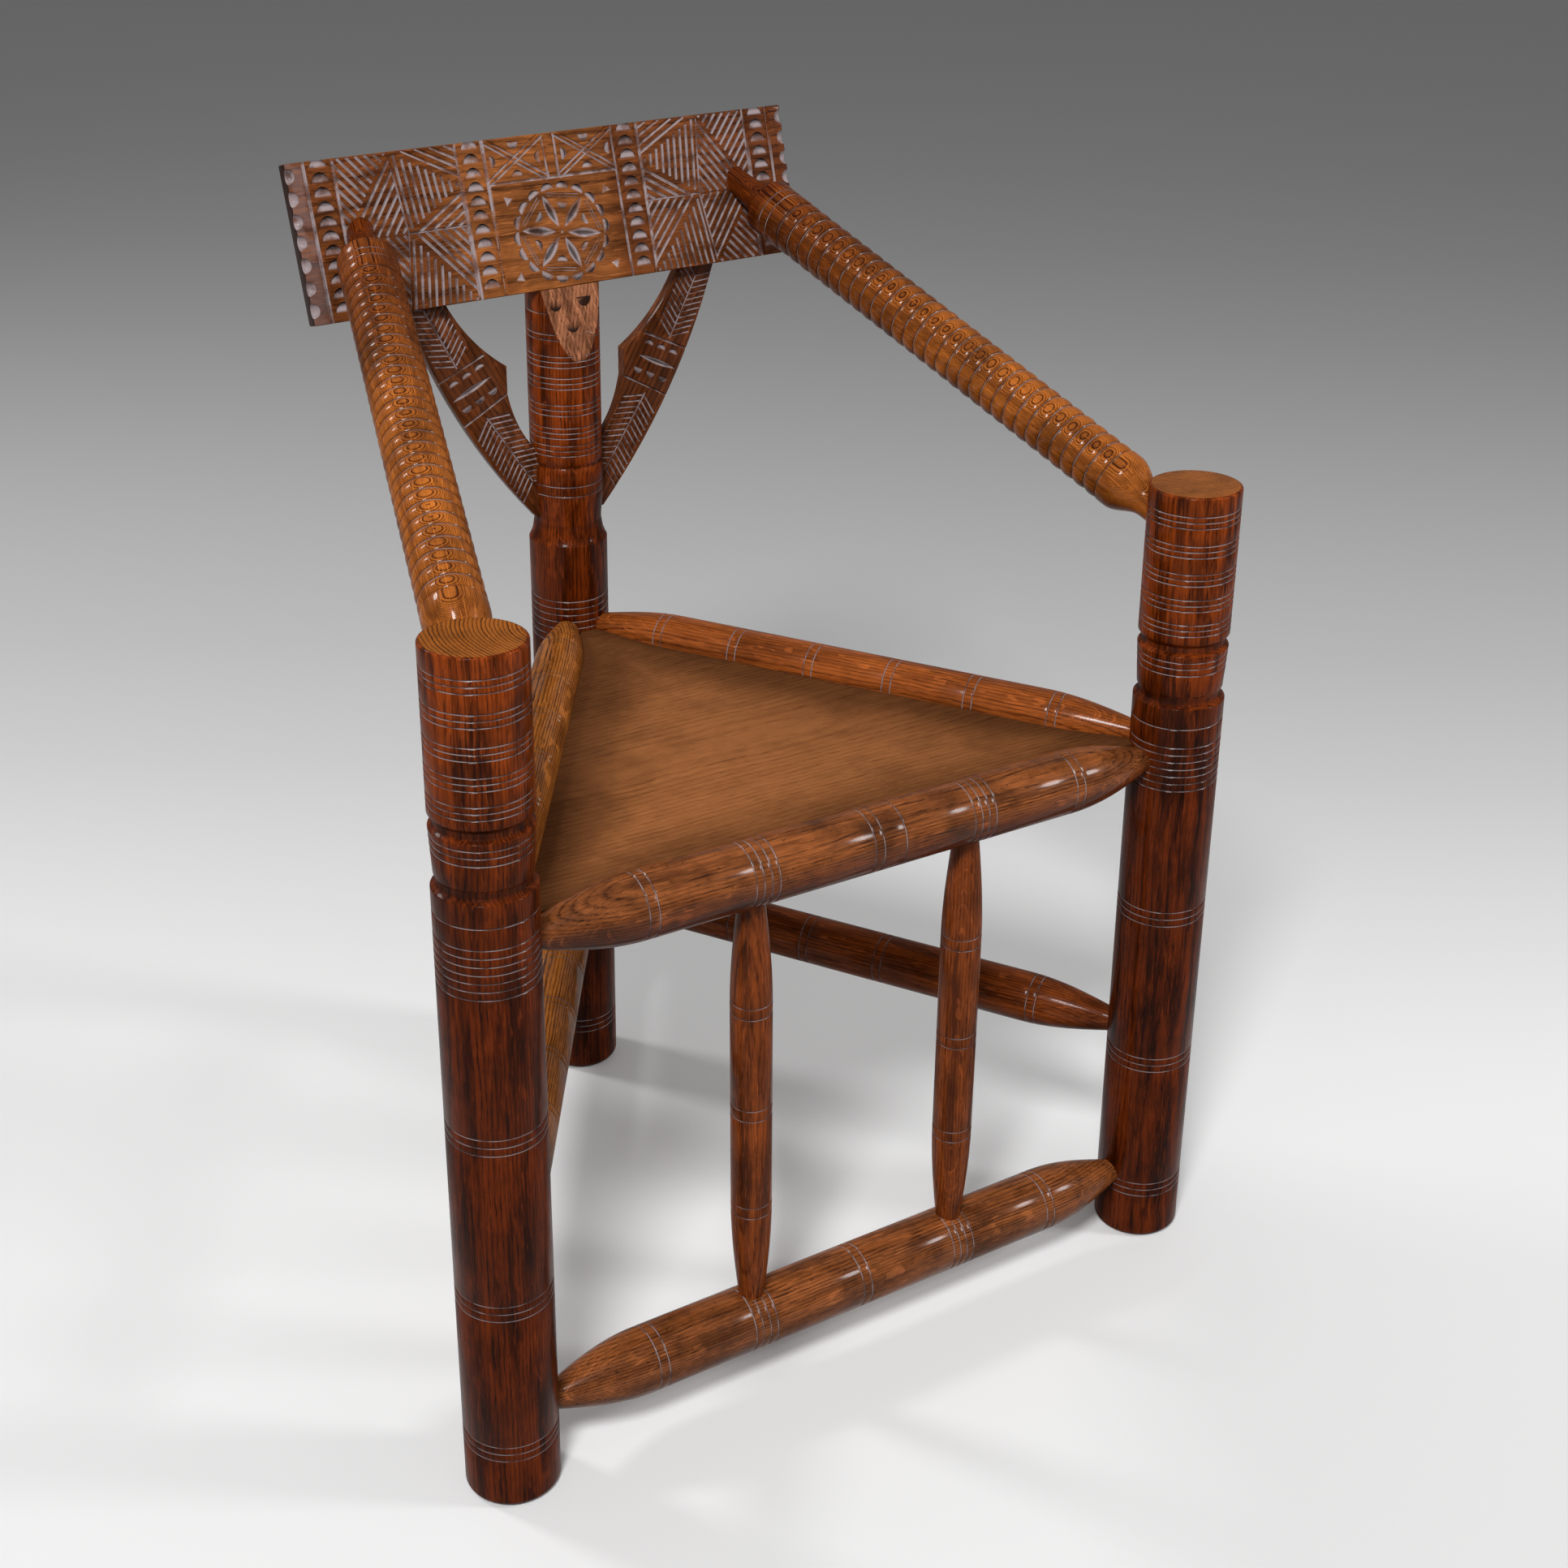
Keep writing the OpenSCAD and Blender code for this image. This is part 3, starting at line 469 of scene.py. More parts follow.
def leaf(bm, start, end, width, depth, cuts=13):
    """A leaf-shaped chip with pointed ends and a V floor between two places."""
    start, end = Vector((*start, 0)), Vector((*end, 0))
    half, slope = (end - start).length / 2, width / 2 / depth
    blade = bmesh.new()
    bmesh.ops.create_cube(blade, size=2.0)
    long_edges = [e for e in blade.edges if abs((e.verts[0].co - e.verts[1].co).x) > 1]
    bmesh.ops.subdivide_edges(blade, edges=long_edges, cuts=cuts)
    for v in blade.verts:
        fullness = max(math.cos(v.co.x * math.pi / 2), 0.0) ** 0.85
        if v.co.z < 0:
            v.co = Vector((v.co.x * half, 0, -depth * fullness - 0.01 * MM))
        else:
            v.co = Vector((v.co.x * half, v.co.y * (width / 2 * fullness + slope * LIFT), LIFT))
    bmesh.ops.remove_doubles(blade, verts=blade.verts, dist=1e-7)
    bmesh.ops.transform(blade, verts=blade.verts, matrix=laid_between(start, end))
    mesh = bpy.data.meshes.new("blade")
    blade.to_mesh(mesh)
    blade.free()
    bm.from_mesh(mesh)
    bpy.data.meshes.remove(mesh)


def half_moon(bm, at, turn_by, width, height, depth):
    """A thumbnail chip: straight edge through its place, round edge turned by an angle from up.
    Its floor slopes down from the straight edge and stops at the gouge's upright cut."""
    def is_half_circle(face):
        """Whether a face is the one just made, among all the cutters' faces."""
        return face.calc_area() > 1 and all(
            abs(v.co.z) < 1e-9 and abs(v.co.length - 1) < 1e-3 or abs(v.co.y) < 1e-9 for v in face.verts)

    made = bmesh.ops.create_circle(bm, cap_ends=True, radius=1.0, segments=28)["verts"]
    faces = list({f for v in made for f in v.link_faces})
    edges = list({e for v in made for e in v.link_edges})
    bmesh.ops.bisect_plane(bm, geom=made + edges + faces, dist=1e-7, plane_co=(0, 0, 0),
                           plane_no=(0, 1, 0), clear_inner=True)
    face = next(face for face in bm.faces if is_half_circle(face))
    lower = list(face.verts)
    upper = [v for v in bmesh.ops.extrude_face_region(bm, geom=[face], use_keep_orig=True)["geom"]
             if isinstance(v, bmesh.types.BMVert)]
    for v in lower:
        v.co.z = -(0.02 * MM + depth * v.co.y)
    for v in upper:
        v.co.z = LIFT
    for v in lower + upper:
        v.co.x *= width / 2
        v.co.y *= height
    place = Matrix.Translation((*at, 0)) @ Matrix.Rotation(turn_by, 4, "Z")
    bmesh.ops.transform(bm, verts=lower + upper, matrix=place)


def three_cut(bm, at, turn_by, reach, depth):
    """A three-cornered chip that falls to one point."""
    made = bmesh.ops.create_cone(bm, cap_ends=True, segments=3, radius1=0.0,
                                 radius2=reach * (1 + LIFT / depth), depth=depth + LIFT)["verts"]
    place = Matrix.Translation((*at, (LIFT - depth) / 2)) @ Matrix.Rotation(turn_by, 4, "Z")
    bmesh.ops.transform(bm, verts=made, matrix=place)


def scoop(bm, at, radii):
    """A round gouge cut."""
    bmesh.ops.create_icosphere(bm, subdivisions=3, radius=1.0,
                               matrix=Matrix.Translation(at) @ Matrix.Diagonal((*radii, 1)))


def crossing(corners, point, way):
    """Where a line through a point crosses a triangle, as two places or None."""
    found = []
    for i in range(3):
        a, b = corners[i], corners[(i + 1) % 3]
        side = b - a
        bottom = way.x * side.y - way.y * side.x
        if abs(bottom) > 1e-12:
            reach = ((a - point).x * way.y - (a - point).y * way.x) / bottom
            if -1e-9 <= reach <= 1 + 1e-9:
                found.append(a + side * reach)
    found = [p for i, p in enumerate(found) if all((p - q).length > 1e-5 for q in found[:i])]
    return found[:2] if len(found) > 1 else None


def hatch(bm, corners, way, gap, width, depth):
    """Fills a triangle with parallel V lines."""
    corners = [Vector(c) for c in corners]
    way = Vector(way).normalized()
    across = Vector((-way.y, way.x))
    spans = sorted(c.dot(across) for c in corners)
    count = int((spans[2] - spans[0]) / gap)
    rest = (spans[2] - spans[0] - (count - 1) * gap) / 2
    for i in range(count):
        ends = crossing(corners, across * (spans[0] + rest + i * gap), way)
        if ends and (ends[0] - ends[1]).length > HATCH_SHORTEST * MM:
            trim = (ends[1] - ends[0]).normalized() * HATCH_TRIM * MM
            wedge(bm, ends[0] + trim, ends[1] - trim, width, depth, run_out=HATCH_RUN_OUT * MM)


# Materials

def node(tree, kind, inputs=None, **settings):
    """Adds a shader node. Inputs are values, or sockets to link from."""
    made = tree.nodes.new(kind)
    for name, value in settings.items():
        setattr(made, name, value)
    for name, value in (inputs or {}).items():
        if isinstance(value, bpy.types.NodeSocket):
            tree.links.new(value, made.inputs[name])
        else:
            made.inputs[name].default_value = value
    return made


def maths(tree, operation, first, second=0.0, clamp=False):
    """A Math node's result."""
    return node(tree, "ShaderNodeMath", {0: first, 1: second}, operation=operation,
                use_clamp=clamp).outputs[0]


def times(tree, first, second):
    """One number times another."""
    return maths(tree, "MULTIPLY", first, second)


def plus(tree, first, second, clamp=False):
    """One number added to another, and kept between 0 and 1 if clamped."""
    return maths(tree, "ADD", first, second, clamp)


def vector_maths(tree, operation, first, inputs=None):
    """A Vector Math node."""
    return node(tree, "ShaderNodeVectorMath", {0: first, **(inputs or {})}, operation=operation)


def stretched(tree, vector, scale):
    """A vector scaled by a different amount along each axis."""
    return vector_maths(tree, "MULTIPLY", vector, {1: scale}).outputs[0]


def grains(tree, vector, scale, detail=2.0, roughness=0.5):
    """Noise over a stretched vector."""
    return node(tree, "ShaderNodeTexNoise", {"Vector": stretched(tree, vector, scale), "Scale": 1.0,
                                             "Detail": detail, "Roughness": roughness})


def ramp(tree, value, low, high, start=0.0, end=1.0):
    """A smooth step from one value to another."""
    return node(tree, "ShaderNodeMapRange", {"Value": value, "From Min": low, "From Max": high,
                                             "To Min": start, "To Max": end},
                interpolation_type="SMOOTHSTEP").outputs["Result"]


def mixed(tree, share, first, second, blend="MIX"):
    """A mix of two colours."""
    made = node(tree, "ShaderNodeMix", data_type="RGBA", blend_type=blend)
    for index, value in ((0, share), (6, first), (7, second)):
        if isinstance(value, bpy.types.NodeSocket):
            tree.links.new(value, made.inputs[index])
        elif index == 0:
            made.inputs[0].default_value = value
        else:
            made.inputs[index].default_value = (*value[:3], 1.0)
    return made.outputs[2]


FLOAT, VECTOR, COLOUR = "NodeSocketFloat", "NodeSocketVector", "NodeSocketColor"


def shared_group(name, inputs, outputs):
    """A new node group with its sockets, and its two end nodes."""
    tree = bpy.data.node_groups.new(name, "ShaderNodeTree")
    for socket, kind, default in inputs:
        made = tree.interface.new_socket(socket, in_out="INPUT", socket_type=kind)
        if default is not None:
            made.default_value = default
    for socket, kind in outputs:
        tree.interface.new_socket(socket, in_out="OUTPUT", socket_type=kind)
    return tree, tree.nodes.new("NodeGroupInput"), tree.nodes.new("NodeGroupOutput")


def oak_figure():
    """Growth rings, pores, rays and streaks of oak, by the place in the tree."""
    if "Oak figure" in bpy.data.node_groups:
        return bpy.data.node_groups["Oak figure"]
    tree, start, end = shared_group(
        "Oak figure",
        [("Wood", VECTOR, None), ("Ring gap", FLOAT, 0.003), ("Waver", FLOAT, 0.006),
         ("Ray flecks", FLOAT, 0.5), ("Shiver", FLOAT, 0.5)],
        [("Early wood", FLOAT), ("Pores", FLOAT), ("Rays", FLOAT), ("Streaks", FLOAT), ("Height", FLOAT)])
    wood = start.outputs["Wood"]

    # Growth rings round a pith that wavers
    drift = grains(tree, wood, (11, 11, 5), detail=3, roughness=0.45).outputs["Color"]
    drift = vector_maths(tree, "SUBTRACT", drift, {1: (0.5, 0.5, 0.5)}).outputs[0]
    drift = vector_maths(tree, "SCALE", drift, {"Scale": start.outputs["Waver"]}).outputs[0]
    bent = vector_maths(tree, "ADD", wood, {1: drift}).outputs[0]
    radius = vector_maths(tree, "LENGTH", stretched(tree, bent, (1, 1, 0))).outputs["Value"]
    shiver = grains(tree, wood, (420, 420, 60), detail=1).outputs["Fac"]
    rings = maths(tree, "DIVIDE", radius, start.outputs["Ring gap"])
    rings = plus(tree, rings, times(tree, shiver, start.outputs["Shiver"]))
    phase = maths(tree, "FRACT", rings)
    year = node(tree, "ShaderNodeTexWhiteNoise", {"W": maths(tree, "FLOOR", rings)},
                noise_dimensions="1D").outputs["Value"]
    early = times(tree, ramp(tree, phase, 0.15, 0.60, 1.0, 0.0), ramp(tree, phase, 0.0, 0.12))
    early = times(tree, early, ramp(tree, year, 0.0, 1.0, 0.6, 1.0))

    # Pores, most of them in the early wood
    fine = grains(tree, bent, (1300, 1300, 70), detail=1).outputs["Fac"]
    coarse = grains(tree, bent, (600, 600, 34), detail=2).outputs["Fac"]
    pores = maths(tree, "MAXIMUM", ramp(tree, fine, 0.56, 0.66), ramp(tree, coarse, 0.58, 0.66))
    pores = times(tree, pores, plus(tree, times(tree, early, 0.7), 0.3))

    # Rays, which run out from the pith
    apart = node(tree, "ShaderNodeSeparateXYZ", {0: bent})
    angle = maths(tree, "ARCTAN2", apart.outputs["Y"], apart.outputs["X"])
    sheet = node(tree, "ShaderNodeCombineXYZ", {"X": times(tree, angle, 95.0), "Y": times(tree, radius, 40.0),
                                                "Z": times(tree, apart.outputs["Z"], 60.0)})
    rays = node(tree, "ShaderNodeTexNoise", {"Vector": sheet.outputs[0], "Scale": 1.0,
                                             "Detail": 1.0}).outputs["Fac"]
    rays = times(tree, ramp(tree, rays, 0.60, 0.67), start.outputs["Ray flecks"])

    streaks = grains(tree, bent, (105, 105, 11), detail=5, roughness=0.62).outputs["Fac"]
    height = maths(tree, "SUBTRACT", 1.0, plus(tree, pores, times(tree, early, 0.25)))
    for name, socket in (("Early wood", early), ("Pores", pores), ("Rays", rays),
                         ("Streaks", streaks), ("Height", height)):
        tree.links.new(socket, end.inputs[name])
    return tree


def old_polish():
    """Long use and polish: mottled colour, wax with painted sheen and dirt with painted shade in the grooves,
    dull corners and fine relief.
    """
    if "Old polish" in bpy.data.node_groups:
        return bpy.data.node_groups["Old polish"]
    tree, start, end = shared_group(
        "Old polish",
        [("Wood colour", COLOUR, None), ("Place", VECTOR, None), ("Groove", FLOAT, 0.0),
         ("Wax and sheen", COLOUR, None), ("Grime and shade", COLOUR, None), ("Wax amount", FLOAT, 0.6),
         ("Wax from", FLOAT, 0.4), ("Wax to", FLOAT, 0.95), ("Deep dirt and shade", FLOAT, 0.0),
         ("Mottle", FLOAT, 0.4), ("Shine", FLOAT, 0.3)],
        [("Colour", COLOUR), ("Roughness", FLOAT), ("Height", FLOAT)])
    place, groove, mottle = (start.outputs[name] for name in ("Place", "Groove", "Mottle"))
    wax_and_sheen, grime_and_shade = start.outputs["Wax and sheen"], start.outputs["Grime and shade"]

    # Clouds and specks of dirt
    cloud = grains(tree, place, (26, 26, 26), detail=4, roughness=0.6).outputs["Fac"]
    dark = ramp(tree, cloud, 0.42, 0.70, 0.0, 0.75)
    colour = mixed(tree, times(tree, dark, mottle), start.outputs["Wood colour"], grime_and_shade)
    specks = ramp(tree, grains(tree, place, (330, 330, 330), detail=2).outputs["Fac"], 0.66, 0.74)
    colour = mixed(tree, times(tree, specks, times(tree, mottle, 0.7)), colour, grime_and_shade)

    # Dirt and painted shade at the grooves' edges, patchy wax with painted sheen in them, and dirt and
    # painted shade again in the deepest places
    patchy = ramp(tree, grains(tree, place, (90, 90, 90), detail=3).outputs["Fac"], 0.36, 0.58, 0.25, 1.0)
    # Painted shade, with dirt, along the grooves' edges
    corner = ramp(tree, groove, 0.05, 0.75)
    colour = mixed(tree, times(tree, corner, 0.6), colour, grime_and_shade)
    # Wax whose pale colour is also a painted sheen in the grooves
    filled = times(tree, ramp(tree, groove, start.outputs["Wax from"], start.outputs["Wax to"]),
                   times(tree, patchy, start.outputs["Wax amount"]))
    colour = mixed(tree, filled, colour, wax_and_sheen)
    # Painted shade, with dirt, in the deepest places
    deep = times(tree, ramp(tree, groove, 0.42, 0.78), start.outputs["Deep dirt and shade"])
    colour = mixed(tree, deep, colour, grime_and_shade)

    rough = plus(tree, start.outputs["Shine"], times(tree, cloud, 0.18))
    rough = plus(tree, rough, times(tree, corner, 0.25), clamp=True)
    height = grains(tree, place, (160, 160, 160), detail=3).outputs["Fac"]
    for name, socket in (("Colour", colour), ("Roughness", rough), ("Height", height)):
        tree.links.new(socket, end.inputs[name])
    return tree


def new_material(name):
    """A new material, its node tree and its shader."""
    material = bpy.data.materials.new(name)
    material.use_nodes = True
    return material, material.node_tree, material.node_tree.nodes["Principled BSDF"]


def oak(context, name, light, dark, ring_gap=3.0, waver=8.0, flecks=0.35, early=0.55, pore=0.8,
        mottle=0.35, wax_and_sheen=0.6, shine=0.22, coat=0.15, relief=0.5, streaky=0.5, tint=None,
        wax_and_sheen_range=(0.4, 0.95), deep=0.0, dim=None, shiver=0.5, coat_rough=0.1):
    """A finished oak material. Gaps are in millimetres; tint is (colour, amount) for the end grain;
    dim is (mask of the place, colour that multiplies)."""
    if name in bpy.data.materials:
        return bpy.data.materials[name]
    tones = context.scene.armchair_tones
    material, tree, shader = new_material(name)
    wood = node(tree, "ShaderNodeAttribute", attribute_name="wood").outputs["Vector"]
    groove = node(tree, "ShaderNodeAttribute", attribute_name="groove").outputs["Fac"]
    figure = node(tree, "ShaderNodeGroup", node_tree=oak_figure())
    tree.links.new(wood, figure.inputs["Wood"])
    for socket, value in (("Ring gap", ring_gap * MM), ("Waver", waver * MM), ("Ray flecks", flecks),
                          ("Shiver", shiver)):
        figure.inputs[socket].default_value = value
    colour = mixed(tree, times(tree, figure.outputs["Early wood"], early), light, dark)
    streak = ramp(tree, figure.outputs["Streaks"], 0.36, 0.66)
    colour = mixed(tree, times(tree, streak, streaky), colour, dark)
    pale = tuple(min(1.0, c * 1.9 + 0.006) for c in light)
    colour = mixed(tree, figure.outputs["Rays"], colour, pale)
    colour = mixed(tree, times(tree, figure.outputs["Pores"], pore), colour, dark)
    if dim:
        colour = mixed(tree, dim[0](tree, wood), colour, dim[1], blend="MULTIPLY")
    if tint:
        on_end = node(tree, "ShaderNodeAttribute", attribute_name="end_grain").outputs["Fac"]
        lines = mixed(tree, figure.outputs["Early wood"], tint[0], dark)
        colour = mixed(tree, times(tree, ramp(tree, on_end, 0.6, 1.0), tint[1]), colour, lines)
    polish = node(tree, "ShaderNodeGroup", {"Wood colour": colour, "Place": wood, "Groove": groove},
                  node_tree=old_polish())
    for socket, value in (("Wax and sheen", (*tones.wax_and_sheen, 1)), ("Grime and shade", (*tones.grime_and_shade, 1)), ("Wax amount", wax_and_sheen),
                          ("Mottle", mottle), ("Shine", shine), ("Wax from", wax_and_sheen_range[0]),
                          ("Wax to", wax_and_sheen_range[1]), ("Deep dirt and shade", deep)):
        polish.inputs[socket].default_value = value
    tree.links.new(polish.outputs["Colour"], shader.inputs["Base Color"])
    tree.links.new(polish.outputs["Roughness"], shader.inputs["Roughness"])
    height = plus(tree, times(tree, figure.outputs["Height"], relief),
                  times(tree, polish.outputs["Height"], 0.5))
    bump = node(tree, "ShaderNodeBump", {"Height": height, "Strength": 0.6, "Distance": 0.3 * MM})
    tree.links.new(bump.outputs["Normal"], shader.inputs["Normal"])
    for socket, value in (("Coat Weight", coat), ("Coat Roughness", coat_rough),
                          ("Specular IOR Level", 0.03)):
        shader.inputs[socket].default_value = value
    return material


# Where the grain's own origin lies along a piece whose colour changes from one end to the other
WOOD_START = 3.0


def along_wood(tree, wood):
    """Distance along the grain from that origin."""
    far = node(tree, "ShaderNodeSeparateXYZ", {0: wood}).outputs["Z"]
    return maths(tree, "SUBTRACT", far, WOOD_START)


def low_on_post(tree, wood):
    """Toward the foot of a post, which is darker."""
    return ramp(tree, along_wood(tree, wood), 0.40, 0.62, 1.0, 0.0)


def high_on_arm(tree, wood):
    """Toward the upper end of an arm, which is darker, and most of all on its nose."""
    along = along_wood(tree, wood)
    rise = times(tree, ramp(tree, along, 0.20, 0.44), 0.75)
    return plus(tree, rise, times(tree, ramp(tree, along, 0.448, 0.456), 0.5), clamp=True)


def off_centre(tree, wood):
    """Away from the board's middle field, which is darker, and darkest on the right, away from the key lamp,
    as painted shade.
    """
    along = along_wood(tree, wood)
    # The right side counts as farther out: painted shade away from the key lamp
    far = plus(tree, maths(tree, "ABSOLUTE", along), times(tree, along, 0.35))
    field = times(tree, ramp(tree, far, 0.045, 0.075), 0.75)
    return plus(tree, field, times(tree, ramp(tree, far, 0.150, 0.230), 0.35))


def under_rail_shade(tree, wood):
    """Painted shade on the under side of the front seat rail, which also turns it redder."""
    place = node(tree, "ShaderNodeTexCoord").outputs["Object"]
    height = node(tree, "ShaderNodeSeparateXYZ", {0: place}).outputs["Z"]
    return times(tree, ramp(tree, height, 0.416, 0.440, 1.0, 0.0), ramp(tree, height, 0.30, 0.31))


def post_oak(context):
    """Dark, streaked and polished oak of the three posts."""
    tones = context.scene.armchair_tones
    return oak(context, "oak_of_posts", tones.post, tones.post_dark, ring_gap=2.6, early=0.5, flecks=0.25,
               mottle=0.5, wax_and_sheen=0.85, shine=0.24, coat=0.07, coat_rough=0.07, streaky=0.85, pore=0.9,
               tint=(tones.end, 0.9), dim=(low_on_post, (0.50, 0.46, 0.5)))


def rail_oak(context):
    """Red-brown oak of the right seat rail."""
    tones = context.scene.armchair_tones
    return oak(context, "oak_of_side_rails", tones.rail, tones.rail_dark, ring_gap=2.8, mottle=0.35, wax_and_sheen=0.8,
               coat=0.25, coat_rough=0.13)


def darker_red_and_shade_oak(context):
    """Darker red-brown oak of the spindles and the right stretcher; on the stretcher it is painted shade
    under the seat.
    """
    tones = context.scene.armchair_tones
    return oak(context, "oak_of_spindles", tones.darker_red_and_shade, tones.rail_dark, ring_gap=2.4, mottle=0.5, wax_and_sheen=0.7,
               coat=0.1, streaky=0.7)


def worn_oak(context):
    """Worn and pitted brown oak of the front rail and stretcher, with painted shade under the rail."""
    tones = context.scene.armchair_tones
    return oak(context, "oak_of_front_rails", tones.worn, tones.worn_dark, ring_gap=2.2, waver=11,
               mottle=0.75, wax_and_sheen=0.8, shine=0.28, coat=0.25, coat_rough=0.13, pore=0.95,
               dim=(under_rail_shade, (0.62, 0.42, 0.36)))


def seat_oak(context):
    """Dull mid-brown oak of the seat."""
    tones = context.scene.armchair_tones
    return oak(context, "oak_of_seat", tones.seat, tones.seat_dark, ring_gap=4.5, waver=14, early=0.35,
               mottle=0.3, wax_and_sheen=0.0, shine=0.42, coat=0.0, flecks=0.15, streaky=0.24)


def golden_oak(context):
    """Golden oak of the arms, whose close rings show as ovals on the beads."""
    tones = context.scene.armchair_tones
    return oak(context, "oak_of_arms", tones.golden, tones.golden_dark, ring_gap=0.62, waver=2.0, early=1.0,
               pore=0.5, mottle=0.6, wax_and_sheen=0.9, shine=0.2, coat=0.2, streaky=0.55, relief=0.3, shiver=0.12,
               wax_and_sheen_range=(0.65, 0.88), coat_rough=0.07, dim=(high_on_arm, (0.36, 0.24, 0.18)))


def left_oak(context):
    """Golden, strongly figured oak of the left seat rail and the left stretcher, made lighter still by
    painted light.
    """
    tones = context.scene.armchair_tones
    return oak(context, "oak_of_left_rails", tones.left, tones.golden_dark, ring_gap=1.9, waver=6, early=1.0,
               pore=0.7, mottle=0.4, wax_and_sheen=0.7, shine=0.22, streaky=0.4)


def carved_oak(context):
    """Brown oak of the carved boards, with wax and painted sheen on the cuts' edges and dirt and painted
    shade in the deepest ones.
    """
    tones = context.scene.armchair_tones
    return oak(context, "oak_of_carved_boards", tones.carved, tones.carved_dark, ring_gap=3.4, mottle=0.5,
               wax_and_sheen=0.85, shine=0.24, coat=0.09, wax_and_sheen_range=(0.08, 0.30), deep=0.75,
               tint=(tones.board_end, 1.0), dim=(off_centre, (0.50, 0.42, 0.45)))


def facet_oak(context):
    """Paler oak where the back post was planed."""
    tones = context.scene.armchair_tones
    return oak(context, "oak_of_facet", tones.fresh, tones.fresh_dark, ring_gap=2.4, mottle=0.15, wax_and_sheen=0.15,
               shine=0.34, coat=0.05, streaky=0.8, deep=0.8, pore=1.0)


def peg_oak(context):
    """Plain dark oak for the CAD pegs, which carry no wood layer."""
    if "oak_of_pegs" in bpy.data.materials:
        return bpy.data.materials["oak_of_pegs"]
    tones = context.scene.armchair_tones
    material, tree, shader = new_material("oak_of_pegs")
    place = node(tree, "ShaderNodeTexCoord").outputs["Object"]
    figure = node(tree, "ShaderNodeGroup", {"Wood": place}, node_tree=oak_figure())
    figure.inputs["Ring gap"].default_value = 0.8 * MM
    colour = mixed(tree, times(tree, figure.outputs["Early wood"], 0.8), tones.rail_dark, tones.grime_and_shade)
    tree.links.new(colour, shader.inputs["Base Color"])
    tree.links.new(plus(tree, 0.4, times(tree, figure.outputs["Streaks"], 0.2)), shader.inputs["Roughness"])
    return material


# Operators, one for each piece or group of like pieces, each after what only it needs

def front_post_outline(posts, rails):
    """Outline of a front post, from its foot to the middle of its top."""
    top, low_r = posts.front_height, posts.front_low_r
    barrel_z = top - posts.barrel
    cup_top = barrel_z - posts.cup_gap
    cup_low = cup_top - posts.cup
    shoulder = cup_low - posts.shoulder_gap
    seven = group(rails.front_z - 0.6 * MM, SEVEN_GAP, 3)
    low = low_rings() + seven + [seven[-1] + 0.476 * (shoulder - seven[-1])]
    barrel = [z for share in reversed(RING_SHARES) for z in group(top - share * posts.barrel, RING_GAP, 1)]

    def cup(z):
        """Radius of the cup at a height."""
        return posts.cup_low_r + (posts.cup_r - posts.cup_low_r) * (z - cup_low) / posts.cup

    return line_up([
        foot(low_r, posts.foot_round),
        ring_lines(low, lambda z: low_r, posts),
        rounding(low_r, shoulder - 1.2 * MM, 1.2 * MM, 0, 70),
        [hollow(posts.notch_r, shoulder + 2.6 * MM), hollow(posts.notch_r, cup_low - 2.2 * MM)],
        [plain(posts.cup_low_r - 0.4 * MM, cup_low), plain(cup(cup_low + 1 * MM), cup_low + 1 * MM)],
        ring_lines([cup_top - down for down in CUP_RINGS], cup, posts),
        rounding(posts.cup_r, cup_top - 1 * MM, 1 * MM, 0, 75),
        [hollow(posts.notch_r + 0.3 * MM, cup_top + 2 * MM), hollow(posts.notch_r, barrel_z - 3 * MM)],
        [plain(posts.front_r - 0.5 * MM, barrel_z - 0.2 * MM), plain(posts.front_r, barrel_z + 0.6 * MM)],
        ring_lines(barrel, lambda z: posts.front_r, posts),
        rounding(posts.front_r, top - 2 * MM, 2 * MM, 0, 90, end_grain=1.0),
        [end_face(share * posts.front_r, top) for share in (0.7, 0.35, 0)],
    ])


class ARMCHAIR_OT_front_posts(bpy.types.Operator):
    """Turns the two front posts"""
    bl_idname = "armchair.front_posts"
    bl_label = "Front posts"

    def execute(self, context):
        posts, rails = context.scene.armchair_posts, context.scene.armchair_rails
        outline = front_post_outline(posts, rails)
        for side, pith in ((LEFT, (0.066, 0.031)), (RIGHT, (0.058, 0.052))):
            bm = turn(outline)
            mark_wood(bm, (*pith, WOOD_START))
            bm.transform(axis_matrix(front_at(context, side, 0), front_at(context, side, posts.front_height)))
            slice_off(bm, (0, 0, 0), (0, 0, -1))
            soften(bm)
            finish_piece(bm, f"front_post_turned_{SIDE_NAMES[side]}", f"front_post_{SIDE_NAMES[side]}",
                         [post_oak(context)])
        return {"FINISHED"}


